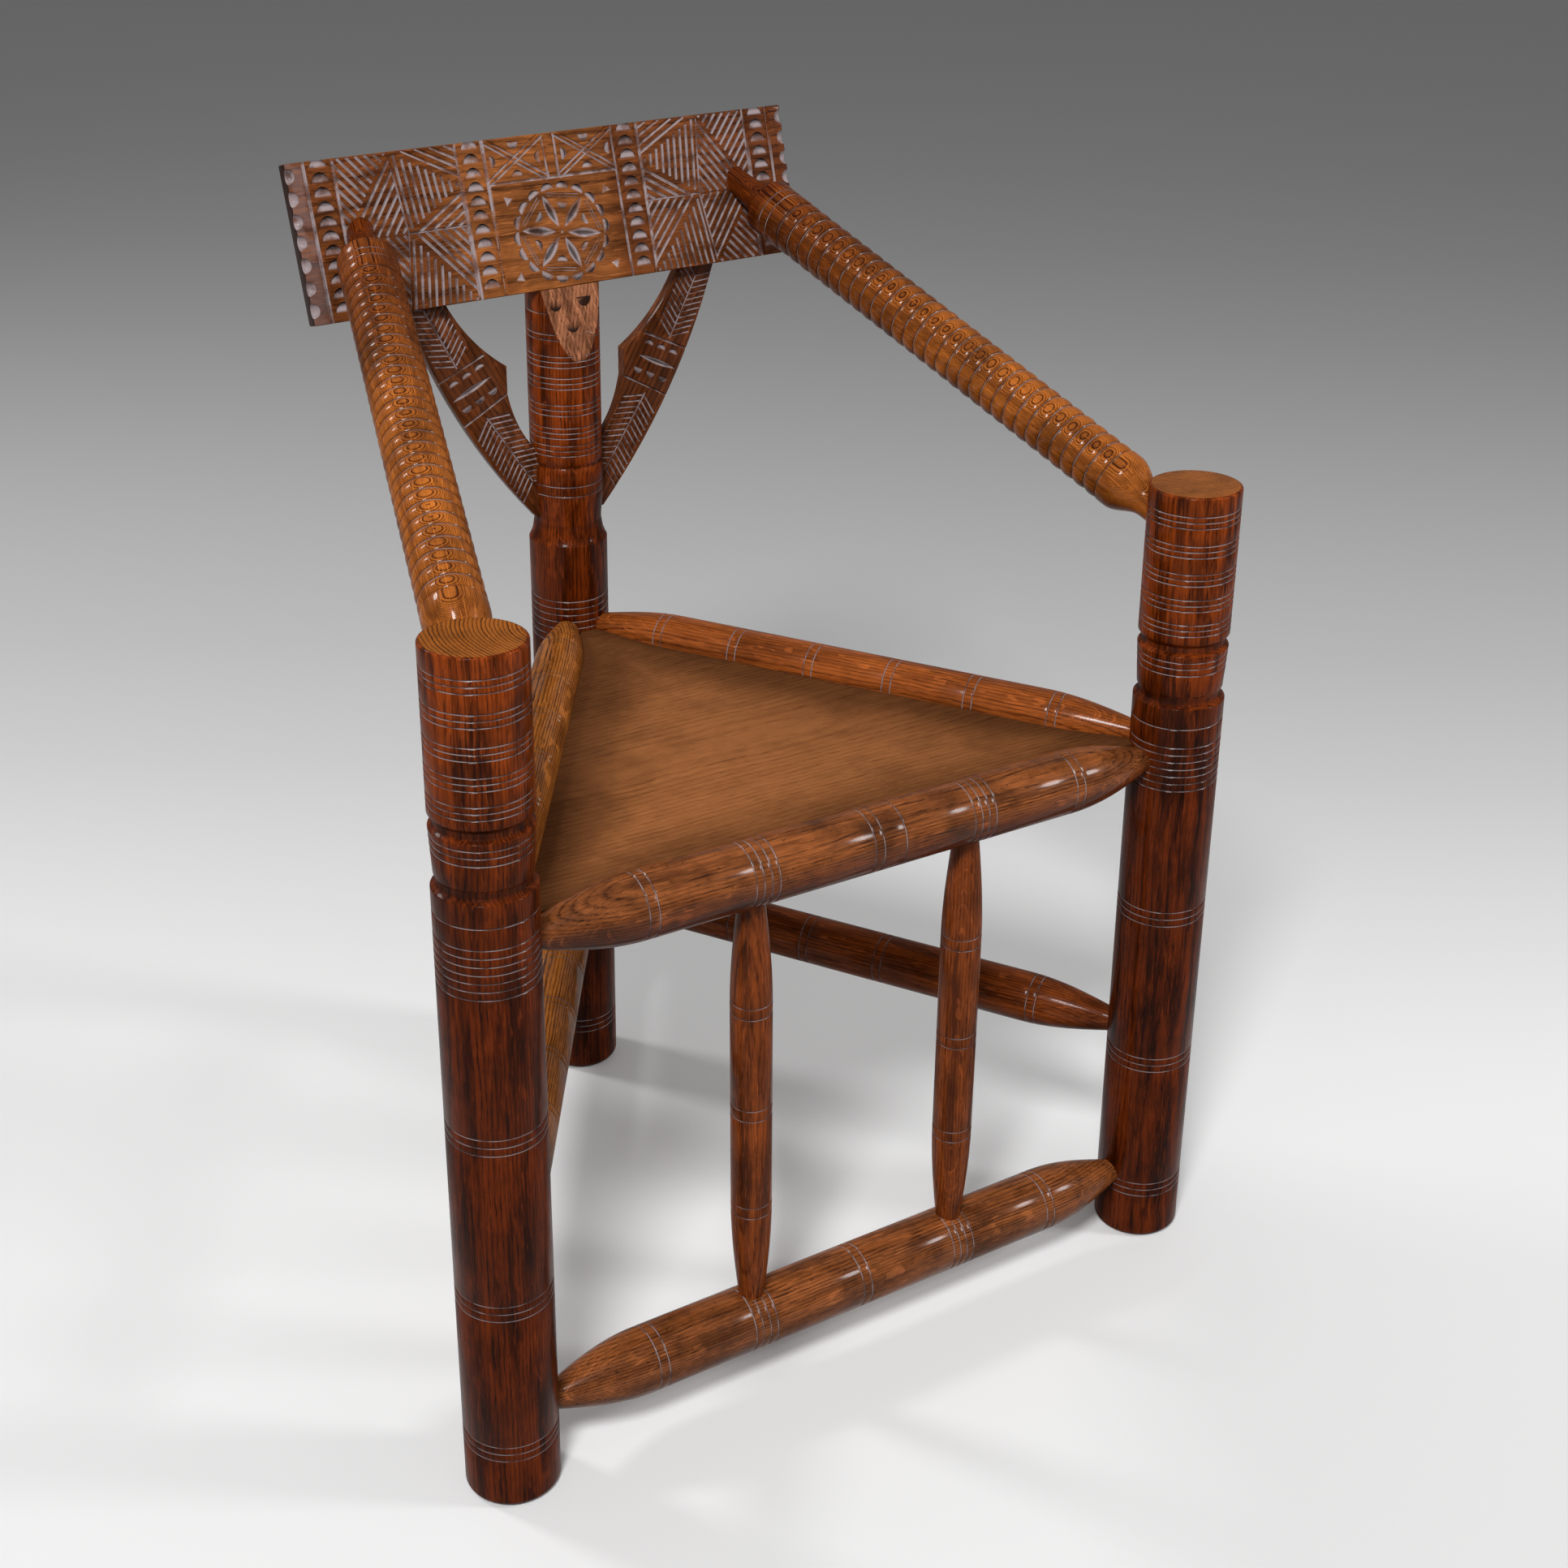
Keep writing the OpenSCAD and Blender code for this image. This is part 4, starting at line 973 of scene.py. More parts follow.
def back_post_outline(posts, rails):
    """Outline of the back post, from its foot to the middle of its top."""
    low_r, back_r, top = posts.back_low_r, posts.back_r, posts.back_height
    shoulder, neck, barrel = posts.back_shoulder_z, posts.back_neck_z, posts.back_barrel_z
    low = low_rings() + group(rails.side_z + 8.8 * MM, SEVEN_GAP, 3)
    vase_top, full = barrel - 3 * MM, barrel - 22 * MM
    pair = barrel + 104 * MM
    upper = [z for up in BACK_RINGS for z in group(barrel + up, RING_GAP, 1)]
    upper += [pair - RING_GAP / 2, pair + RING_GAP / 2, barrel + 122.4 * MM]

    def vase(z):
        """Radius of the vase at a height."""
        share = min(1.0, (z - neck) / (full - neck))
        return posts.back_neck_r + (posts.back_vase_r - posts.back_neck_r) * share

    return line_up([
        foot(low_r, posts.back_foot_round),
        ring_lines(low, lambda z: low_r, posts),
        rounding(low_r, shoulder - 7.5 * MM, 2 * MM, 0, 50),
        [plain(posts.back_neck_r + 1.5 * MM, shoulder), hollow(posts.back_neck_r, neck - 3 * MM, 0.4)],
        [plain(vase(z), z) for z in (neck, neck + 8 * MM, neck + 16 * MM)],
        ring_lines([barrel - 26.6 * MM], vase, posts),
        [plain(vase(full), full)],
        ring_lines([barrel - 18.3 * MM], vase, posts),
        [plain(posts.back_vase_r, vase_top - 5.5 * MM), plain(back_r - 0.4 * MM, vase_top - 1.5 * MM)],
        [hollow(back_r - 1.5 * MM, vase_top), hollow(back_r - 1.4 * MM, vase_top + 1 * MM)],
        [plain(back_r - 0.3 * MM, barrel - 0.2 * MM), plain(back_r, barrel + 0.5 * MM)],
        ring_lines(upper, lambda z: back_r, posts),
        rounding(back_r, top - 2 * MM, 2 * MM, 0, 90, end_grain=1.0),
        [end_face(0, top)],
    ])


def facet_matrix(context):
    """From the facet's plane (across, up, out) to the chair, with its origin at the board's lower edge."""
    posts, carved = context.scene.armchair_posts, context.scene.armchair_carved
    top_y = carved.board_y - carved.board_h / 2 * math.sin(carved.lean)
    top_z = carved.board_z - carved.board_h / 2 * math.cos(carved.lean)
    low_z = top_z - posts.facet
    low_y = back_at(context, low_z).y - posts.back_r
    up = Vector((0, top_y - low_y, posts.facet)).normalized()
    out = Vector((1, 0, 0)).cross(up)
    turned = Matrix((Vector((1, 0, 0)), up, out)).transposed().to_4x4()
    return Matrix.Translation((0, top_y, top_z)) @ turned


# The three chips on the facet: their places on it, and their size
FACET_CHIPS = [Vector((x * MM, y * MM)) for x, y in ((-14.5, -10.5), (10.5, -9.0), (-2.0, -28))]
FACET_CHIP_W, FACET_CHIP_H, FACET_CHIP_D = 12.5 * MM, 7.4 * MM, 2 * MM


def mark_facet(bm, facet):
    """Gives the planed facet and its chips the second material, and marks how deep the chips are."""
    to_facet = facet.inverted()
    groove = bm.verts.layers.float["groove"]

    def in_chip(spot):
        """Whether a place is over or in a chip."""
        return any(abs(spot.x - chip.x) < 7.5 * MM and -9 * MM < spot.y - chip.y < 0.5 * MM
                   for chip in FACET_CHIPS)

    for face in bm.faces:
        spot = to_facet @ face.calc_center_median()
        normal = to_facet.to_3x3() @ face.normal
        on_plane = abs(spot.z) < 0.05 * MM and normal.z > 0.97 and spot.y < 0
        if on_plane or -3 * MM < spot.z < 0.05 * MM and in_chip(spot):
            face.material_index = 1
    for vert in bm.verts:
        spot = to_facet @ vert.co
        if -3 * MM < spot.z < -0.1 * MM and in_chip(spot):
            vert[groove] = min(1.0, -spot.z / FACET_CHIP_D)


def board_space(context, bm, reach=0.09):
    """A block that holds the crest board, with its clearance, and what is in front of it and over it."""
    carved = context.scene.armchair_carved
    width, height = carved.board_w + 2 * FIT, carved.board_h + 2 * FIT + reach
    depth = carved.board_t + 2 * FIT + reach
    at = Matrix.Translation((0, (height - carved.board_h) / 2 - FIT, (depth / 2 - carved.board_t - FIT)))
    bmesh.ops.create_cube(bm, size=1.0,
                          matrix=board_matrix(context) @ at @ Matrix.Diagonal((width, height, depth, 1)))


class ARMCHAIR_OT_back_post(bpy.types.Operator):
    """Turns the back post, notches it for the board and planes its facet"""
    bl_idname = "armchair.back_post"
    bl_label = "Back post"

    def execute(self, context):
        posts, rails = context.scene.armchair_posts, context.scene.armchair_rails
        bm = turn(back_post_outline(posts, rails), steps=96)
        placed = axis_matrix(back_at(context, 0), back_at(context, posts.back_height))
        bm.transform(placed)
        slice_off(bm, (0, 0, 0), (0, 0, -1))
        cutters = bmesh.new()
        facet = facet_matrix(context)
        for chip in FACET_CHIPS:
            half_moon(cutters, chip, math.pi, FACET_CHIP_W, FACET_CHIP_H, FACET_CHIP_D)
        bmesh.ops.transform(cutters, matrix=facet, verts=cutters.verts)
        plane_block = Matrix.Translation((0, -0.04, 0.03)) @ Matrix.Diagonal((0.09, 0.13, 0.06, 1))
        bmesh.ops.create_cube(cutters, size=1.0, matrix=facet @ plane_block)
        board_space(context, cutters)
        bm = cut_away(bm, cutters)
        mark_wood(bm, (0.09, -0.075, WOOD_START), placed.inverted())
        soften(bm)
        mark_facet(bm, facet)
        finish_piece(bm, "back_post_turned", "back_post", [post_oak(context), facet_oak(context)])
        return {"FINISHED"}


def cigar(posts, span, skin_a, skin_b, stop_a, stop_b, middle_r, end_r, taper, places, steps=14):
    """Outline of a rail that swells from both ends. Its skins are where it leaves the posts' surfaces,
    its stops are where it ends inside them, and its places are those of its ring lines."""
    lines = sorted(span / 2 + place for place in places)

    def radius(x):
        """Radius of the rail at a place."""
        share = max(0.0, min(x - skin_a, span - skin_b - x)) / taper
        return middle_r if share >= 1 else end_r + (middle_r - end_r) * math.sin(math.radians(90 * share))

    def clear(x):
        """Whether a place is well away from all ring lines."""
        return all(abs(x - z) > 1.6 * MM for z in lines)

    stops = [skin_a + taper * i / steps for i in range(steps + 1)]
    stops += [span - skin_b - taper * (1 - i / steps) for i in range(steps + 1)]
    points = [plain(radius(x), x) for x in stops if clear(x)] + ring_lines(lines, radius, posts)
    points.sort(key=lambda point: point[1])
    near = [(0, stop_a), (end_r - 0.4 * MM, stop_a), (end_r, stop_a + 0.6 * MM)]
    far = [(end_r, span - stop_b - 0.6 * MM), (end_r - 0.4 * MM, span - stop_b), (0, span - stop_b)]
    return line_up([[plain(*p) for p in near], points, [plain(*p) for p in far]])


def member(context, name, node_name, material, start, end, skins, stops, middle_r, places, pith):
    """Makes one rail or stretcher between two axes."""
    posts, rails = context.scene.armchair_posts, context.scene.armchair_rails
    outline = cigar(posts, (end - start).length, *skins, *stops, middle_r, rails.end_r, rails.taper, places)
    bm = turn(outline, steps=80)
    mark_wood(bm, pith)
    bm.transform(axis_matrix(start, end))
    soften(bm)
    finish_piece(bm, name, node_name, [material])


def front_member(context, name, z, middle_r, extra_lines, pith):
    """Makes a rail or stretcher between the front posts, with ring lines at its ends, its middle and the
    spindles."""
    posts, rails = context.scene.armchair_posts, context.scene.armchair_rails
    places = pairs((-176 * MM, 0, 176 * MM), 3.6 * MM) + extra_lines
    places += [side * rails.spindle_x + i * 6.2 * MM
               for side in (LEFT, RIGHT) for i in (-1.5, -0.5, 0.5, 1.5)]
    member(context, f"{name}_turned", name, worn_oak(context),
           front_at(context, LEFT, z), front_at(context, RIGHT, z),
           (posts.front_low_r,) * 2, (rails.front_stop,) * 2, middle_r, places, pith)


def side_member(context, name, node_name, material, side, heights, middle_r, pith):
    """Makes a rail or stretcher from a front post to the back post, with six pairs of ring lines."""
    posts, rails = context.scene.armchair_posts, context.scene.armchair_rails
    places = pairs([i * 68 * MM for i in (-2.5, -1.5, -0.5, 0.5, 1.5, 2.5)], 3.6 * MM)
    member(context, name, node_name, material,
           front_at(context, side, heights[0]), back_at(context, heights[1]),
           (posts.front_low_r, posts.back_low_r), (rails.front_stop, rails.back_stop), middle_r, places, pith)


def pairs(middles, half):
    """Places of pairs of ring lines."""
    return [middle + side * half for middle in middles for side in (LEFT, RIGHT)]


class ARMCHAIR_OT_seat_rails(bpy.types.Operator):
    """Turns the three seat rails"""
    bl_idname = "armchair.seat_rails"
    bl_label = "Seat rails"

    def execute(self, context):
        rails = context.scene.armchair_rails
        front_member(context, "front_seat_rail", rails.front_z, rails.front_r, [22 * MM],
                     (0.030, -0.064, 0.2))
        for side, pith, material in ((LEFT, (0.05, 0.04, 5.2), left_oak(context)),
                                     (RIGHT, (-0.06, 0.02, 7.7), rail_oak(context))):
            side_member(context, f"side_seat_rail_turned_{SIDE_NAMES[side]}", f"{SIDE_NAMES[side]}_seat_rail",
                        material, side, (rails.side_z, rails.side_z), rails.side_r, pith)
        return {"FINISHED"}


class ARMCHAIR_OT_stretchers(bpy.types.Operator):
    """Turns the three stretchers"""
    bl_idname = "armchair.stretchers"
    bl_label = "Stretchers"

    def execute(self, context):
        rails = context.scene.armchair_rails
        front_member(context, "front_stretcher", rails.stretcher_z, rails.stretcher_r, [], (0.045, 0.05, 9.1))
        heights = rails.side_front_z, rails.side_back_z
        for side, pith, slot, material in ((LEFT, (0.031, 0.022, 11.4), "golden_oak", left_oak(context)),
                                           (RIGHT, (0.06, -0.05, 13.8), "rail_oak", darker_red_and_shade_oak(context))):
            side_member(context, f"side_stretcher_turned_{SIDE_NAMES[side]}", f"{SIDE_NAMES[side]}_stretcher",
                        material, side, heights, rails.side_stretcher_r, pith)
        return {"FINISHED"}


class ARMCHAIR_OT_spindles(bpy.types.Operator):
    """Turns the two spindles under the front seat rail"""
    bl_idname = "armchair.spindles"
    bl_label = "Spindles"

    def execute(self, context):
        posts, rails = context.scene.armchair_posts, context.scene.armchair_rails
        places = pairs((-84 * MM, 0, 84 * MM), 4.4 * MM)
        for side, pith in ((LEFT, (0.04, 0.035, 15.3)), (RIGHT, (-0.05, 0.02, 17.9))):
            ends = [Vector((side * rails.spindle_x, front_at(context, RIGHT, z).y, z))
                    for z in (rails.stretcher_z, rails.front_z)]
            outline = cigar(posts, (ends[1] - ends[0]).length, rails.stretcher_r, rails.front_r,
                            rails.stretcher_r - rails.spindle_seat, rails.front_r - rails.spindle_seat,
                            rails.spindle_r, rails.spindle_end_r, rails.spindle_taper, places)
            bm = turn(outline, steps=64)
            mark_wood(bm, pith)
            bm.transform(axis_matrix(*ends))
            soften(bm)
            finish_piece(bm, f"spindle_turned_{SIDE_NAMES[side]}", f"{SIDE_NAMES[side]}_spindle",
                         [darker_red_and_shade_oak(context)])
        return {"FINISHED"}


# Widths of the rings that divide the seat's faces, from its edge in, so that marks can fade over them
SEAT_RINGS = (10 * MM, 10 * MM, 20 * MM, 25 * MM, 25 * MM)


def mark_seat(bm, edges):
    """Marks the seat as darker along its edges, less so at the front one, and toward the back."""
    groove = bm.verts.layers.float["groove"]
    for vert in bm.verts:
        front, right, left = ((vert.co.to_2d() - p).dot(Vector((-u.y, u.x))) for p, u in edges)
        back = max(0.0, (vert.co.y - 60 * MM) / (130 * MM))
        edge = max(0.0, 1.0 - min(2.2 * front, right, left) / (85 * MM))
        vert[groove] = min(1.0, 0.7 * edge + 0.5 * back)


class ARMCHAIR_OT_seat(bpy.types.Operator):
    """Lays the triangular seat board between the rails"""
    bl_idname = "armchair.seat"
    bl_label = "Seat board"

    def execute(self, context):
        posts, rails = context.scene.armchair_posts, context.scene.armchair_rails
        z = rails.seat_top
        corners = [front_at(context, LEFT, z), front_at(context, RIGHT, z), back_at(context, z)]
        edges = []
        for i in range(3):
            run = (corners[(i + 1) % 3] - corners[i]).to_2d().normalized()
            edges.append((corners[i].to_2d() + rails.seat_inset * Vector((-run.y, run.x)), run))
        bm = new_mesh()
        ring = []
        for i in range(3):
            (p, u), (q, v) = edges[i], edges[(i + 1) % 3]
            share = ((q - p).x * v.y - (q - p).y * v.x) / (u.x * v.y - u.y * v.x)
            ring.append(bm.verts.new((*(p + u * share), z)))
        top = bm.faces.new(ring)
        for width in SEAT_RINGS:
            bmesh.ops.inset_region(bm, faces=[top], thickness=width, use_even_offset=True,
                                   use_boundary=True)
        made = bmesh.ops.extrude_face_region(bm, geom=bm.faces[:], use_keep_orig=True)["geom"]
        for vert in made:
            if isinstance(vert, bmesh.types.BMVert):
                vert.co.z -= rails.seat_t
        bmesh.ops.recalc_face_normals(bm, faces=bm.faces)
        cutters = bmesh.new()
        for start, end, radius in (
                (front_at(context, LEFT, 0), front_at(context, LEFT, 0.6), posts.front_low_r),
                (front_at(context, RIGHT, 0), front_at(context, RIGHT, 0.6), posts.front_low_r),
                (back_at(context, 0), back_at(context, 0.6), posts.back_low_r)):
            bmesh.ops.create_cone(cutters, cap_ends=True, segments=96, radius1=radius + FIT,
                                  radius2=radius + FIT, depth=(end - start).length * 2,
                                  matrix=axis_matrix(start, end))
        bm = cut_away(bm, cutters)
        mark_seat(bm, edges)
        mark_wood(bm, (0.05, -0.49, 21.0), GRAIN_ALONG_X)
        soften(bm)
        finish_piece(bm, "seat_board_planed", "seat_board", [seat_oak(context)])
        return {"FINISHED"}


SWELL_STEPS = 14
# Places along a bead at which its outline is set, as shares of its length
BEAD_PLACES = (0.0, 0.03, 0.08, 0.15, 0.24, 0.36, 0.5, 0.64, 0.76, 0.85, 0.92, 0.97)
# How much fuller the nose is than its end, and how far above the band, in millimetres
NOSE_TAPER = ((2.4, 4), (2.1, 8), (1.6, 13), (0.9, 18), (0.3, 23), (0, 28))
NOSE_OVER = 0.06  # how far the nose runs past the board's face before it is trimmed


def arm_outline(posts, arms, run, rise):
    """Outline of an arm, from its tenon in the front post past the board's face, by its run and its slope."""
    skin = (posts.front_r + arms.tenon_r * math.sin(rise)) / math.cos(rise)
    first = skin + arms.swell + arms.plain
    last, band_end = run - arms.nose - arms.band, run - arms.nose
    pitch, middle = (last - first) / arms.beads, (last + band_end) / 2
    swell = [plain(arms.tenon_r + (arms.arm_r - arms.tenon_r) * (1 - math.cos(math.pi * i / SWELL_STEPS)) / 2,
                   skin + arms.swell * i / SWELL_STEPS) for i in range(SWELL_STEPS + 1)]
    beads = []
    for k in range(arms.beads):
        for share in BEAD_PLACES:
            fall = 0.72 * abs(2 * share - 1) ** 2 + 0.28 * abs(2 * share - 1) ** 10
            beads.append(hollow(arms.arm_r - arms.bead_d * fall, first + (k + share) * pitch,
                                max(0.0, (fall - 0.35) / 0.65)))
    return line_up([
        [plain(0, skin - arms.tenon), plain(arms.tenon_r, skin - arms.tenon)],
        swell,
        rounding(arms.arm_r, first - 1.4 * MM, 0.8 * MM, 0, 60, steps=3),
        beads,
        [hollow(arms.arm_r - arms.bead_d, last, 1.0)],
        [plain(arms.arm_r - 0.5 * MM, last + 0.5 * MM), plain(arms.arm_r, last + 1.2 * MM)],
        ring_lines([middle - 4 * MM, middle + 4 * MM], lambda z: arms.arm_r, posts),
        rounding(arms.arm_r, band_end - 2 * MM, 2 * MM, 0, 90),
        [hollow(arms.nose_r + 3.2 * MM, band_end, 0.6),
         hollow(arms.nose_r + 2.6 * MM, band_end + 0.8 * MM, 0.6)],
        [plain(arms.nose_r + out * MM, band_end + up * MM) for out, up in NOSE_TAPER],
        [plain(arms.nose_r, run + NOSE_OVER), plain(0, run + NOSE_OVER)],
    ])


class ARMCHAIR_OT_arms(bpy.types.Operator):
    """Turns the two beaded arms"""
    bl_idname = "armchair.arms"
    bl_label = "Arms"

    def execute(self, context):
        posts, arms, carved = (context.scene.armchair_posts, context.scene.armchair_arms,
                               context.scene.armchair_carved)
        to_board = board_matrix(context)
        for side, bark, growth in ((LEFT, (-0.35, -0.75, 0.55), 0.0), (RIGHT, (-0.45, -0.45, 0.75), 0.004)):
            start, end = arm_ends(context, side)
            run = (end - start).length
            bm = turn(arm_outline(posts, arms, run, math.asin((end - start).z / run)), steps=88)
            placed = axis_matrix(start, end)
            toward = (placed.to_3x3().inverted() @ Vector(bark)).to_2d().normalized() * 0.085
            mark_wood(bm, (*toward, WOOD_START + growth))
            bm.transform(placed)
            slice_off(bm, to_board @ Vector((0, 0, -carved.board_t)), to_board.to_3x3() @ Vector((0, 0, -1)))
            soften(bm)
            finish_piece(bm, f"arm_turned_{SIDE_NAMES[side]}", f"{SIDE_NAMES[side]}_arm",
                         [golden_oak(context)])
        return {"FINISHED"}


# Columns of half-moons on the board: how many, and the height of the first above the board's middle
CHIPS_IN_COLUMN, FIRST_CHIP = 11, 51.2 * MM
# Scallops in the board's two ends: their heights above the board's middle, in millimetres
SCALLOPS = (48.5, 32.6, 16.7, 1.5, -14.5, -31, -47)
# Three-cornered chips round the rosette, across and up in millimetres
CORNER_CHIPS = ((-41.5, 11.8), (42.4, 11.0), (42.0, -45.8), (-41.2, -46.2))


def carve_panel(bm, carved, side):
    """Hatched triangles of one end panel of the board, and its columns of chips."""
    top, inner, outer = carved.board_h / 2, carved.panel_in, carved.panel_out

    def at(far, up):
        """A place on the face, by its distance from the middle and its height."""
        return side * far, up

    # Corners of the triangles: a and e on the edges, a hub within, b to d inside and out_b to out_d outside
    a, e = at(131.5 * MM, top), at(133.5 * MM, -top)
    hub, mid = at(125.5 * MM, -2 * MM), at(inner, -2 * MM)
    b, c, d = at(inner, top), at(inner, 0.49 * top), at(inner, -top)
    out_b, out_m, out_d = at(outer, top), at(outer, -2 * MM), at(outer, -top)
    # Each triangle with the two places that its hatching runs between
    fields = (((a, b, c), (a, c)), ((a, c, hub), (a, hub)), ((hub, c, mid), (hub, c)),
              ((hub, mid, d), (hub, d)), ((hub, d, e), (hub, e)), ((a, out_m, hub), (a, out_m)),
              ((a, out_b, out_m), (out_b, hub)), ((hub, out_m, e), (e, out_m)),
              ((e, out_m, out_d), (out_d, hub)))
    for corners, (start, end) in fields:
        hatch(bm, corners, Vector(end) - Vector(start), carved.hatch_gap, carved.hatch_w, carved.hatch_d)
    for start, end in ((a, hub), (hub, e), (hub, mid)):
        wedge(bm, start, end, 2.2 * MM, 1.2 * MM)
    over = top + 4 * MM
    for far in (carved.margin_line, outer, inner, carved.centre_line):
        wedge(bm, at(far, -over), at(far, over), 5.6 * MM, 1.3 * MM)
    for far in ((carved.margin_line + outer) / 2, (inner + carved.centre_line) / 2):
        for i in range(CHIPS_IN_COLUMN):
            half_moon(bm, at(far, FIRST_CHIP - i * carved.chip_gap), 0,
                      carved.chip_w, carved.chip_h, carved.chip_d)
    for up in SCALLOPS:
        scoop(bm, (side * (carved.board_w / 2 + 0.6 * MM), up * MM, 1.2 * MM), (7.2 * MM, 6 * MM, 5.2 * MM))


def carve_frieze(bm, carved):
    """Two saltires of double lines over the rosette, with a chip in each of their openings."""
    half, low, top = carved.centre_line, carved.frieze, carved.board_h / 2
    wedge(bm, (-half, low), (half, low), 3 * MM, 1.2 * MM)
    inner = 4.5 * MM
    for side in (LEFT, RIGHT):
        wedge(bm, (side * inner, low), (side * inner, top + 3 * MM), 3.4 * MM, 1.27 * MM)
        corners = ((inner, low), (half, low), (half, top), (inner, top))
        for p, q in ((0, 2), (1, 3)):
            start, end = Vector(corners[p]), Vector(corners[q])
            aside = (end - start).normalized().orthogonal() * 1.7 * MM
            for shift in (aside, -aside):
                ends = [Vector((side * v.x, v.y)) for v in (start + shift, end + shift)]
                wedge(bm, *ends, 2.3 * MM, 1.1 * MM, run_out=1 * MM)
        middle, height = side * (inner + half) / 2, (low + top) / 2
        for at, way in (((middle, top - 3 * MM), math.pi), ((middle, low + 3 * MM), 0),
                        ((side * (inner + 3.6 * MM), height), -side * math.pi / 2),
                        ((side * (half - 3.6 * MM), height), side * math.pi / 2)):
            half_moon(bm, at, way, 9.5 * MM, 5.6 * MM, 1.8 * MM)


def carve_rosette(bm, carved):
    """Six petals in a ring of chips, with chords between the petals' tips."""
    centre = Vector((-0.4 * MM, -carved.rosette_low))

    def at(radius, degrees):
        """A place on the slightly wide rosette, by its distance from the centre and its direction."""
        angle = math.radians(degrees) + carved.rosette_turn
        shape = Vector((math.cos(angle) * carved.ring_across, math.sin(angle) * carved.ring_up))
        return centre + shape * radius / ((carved.ring_across + carved.ring_up) / 2)

    for k in range(6):
        leaf(bm, at(carved.petal_from, 60 * k), at(carved.petal_to, 60 * k), carved.petal_w, 2.1 * MM)
        way = math.radians(60 * k + 30) + carved.rosette_turn
        half_moon(bm, at(21.5 * MM, 60 * k + 30) + Vector((math.cos(way), math.sin(way))) * 2.6 * MM,
                  way + math.pi / 2, 9.5 * MM, 5.4 * MM, 1.7 * MM)
        for inner in (0.92, 0.99):
            start, end = at(carved.petal_to * inner, 60 * k + 6), at(carved.petal_to * inner, 60 * k + 54)
            wedge(bm, start, end, 1.3 * MM, 0.8 * MM, run_out=1 * MM)
        for i in (-1, 0, 1):
            degrees = 60 * k + 30 + 20 * i
            turn_by = math.radians(degrees) + carved.rosette_turn - math.pi / 2
            half_moon(bm, at(33.6 * MM, degrees), turn_by, 11.2 * MM, 6.2 * MM, 2 * MM)
    bmesh.ops.create_cone(bm, cap_ends=True, segments=20, radius1=0, radius2=2.6 * MM, depth=2.6 * MM,
                          matrix=Matrix.Translation((*centre, 0)))
    for u, v in CORNER_CHIPS:
        three_cut(bm, (u * MM, v * MM), math.atan2(v, u), 6.2 * MM, 1.1 * MM)


DEEP_CUT = 2.2 * MM  # depth at which a cut counts as fully deep


def mark_depth(bm, to_face, room, arris, depth, end=None):
    """Marks carved places by their depth, on face corners, so that the sawn sides stay clean.

    Room is how far a place lies inside the face's outline, which tells the worn edges of the face from
    shallow cuts. Past the distance end from the middle the marks stay shallow, so that the end scallops
    show a painted highlight in the wax colour rather than painted shade, and on the left the uncut face
    gets painted sheen in the wax colour too.
    """
    bm.verts.layers.float.remove(bm.verts.layers.float["groove"])
    groove = bm.loops.layers.float.new("groove")
    spots = {vert: to_face @ vert.co for vert in bm.verts}
    rims = {vert: room(spot) for vert, spot in spots.items()}
    for face in bm.faces:
        middle = to_face @ face.calc_center_median()
        if middle.z < -4.5 * MM or room(middle) < 0.12 * MM:
            continue
        for loop in face.loops:
            deep = -spots[loop.vert].z
            if deep < arris + 0.05 * MM:
                deep -= max(0.0, arris - rims[loop.vert])
            value = min(1.0, max(0.0, deep / depth))
            # Painted highlight: the end scallops keep the wax colour and no painted shade
            if end and abs(middle.x) > end:
                value = min(value, 0.4)
            # Painted sheen in the wax colour on the uncut face at the left end
            loop[groove] = max(value, 0.15) if end and middle.x < 8 * MM - end else value


def room_in_outline(outline, side):
    """How far inside a closed outline a place is."""
    points = [Vector((side * p.x, p.y)) for p in outline]
    sides = list(zip(points, points[1:] + points[:1]))

    def to_side(flat, a, b):
        """Distance of a place from one side of the outline."""
        share = min(1.0, max(0.0, (flat - a).dot(b - a) / (b - a).length_squared))
        return (flat - a - (b - a) * share).length

    return lambda spot: min(to_side(spot.to_2d(), a, b) for a, b in sides)


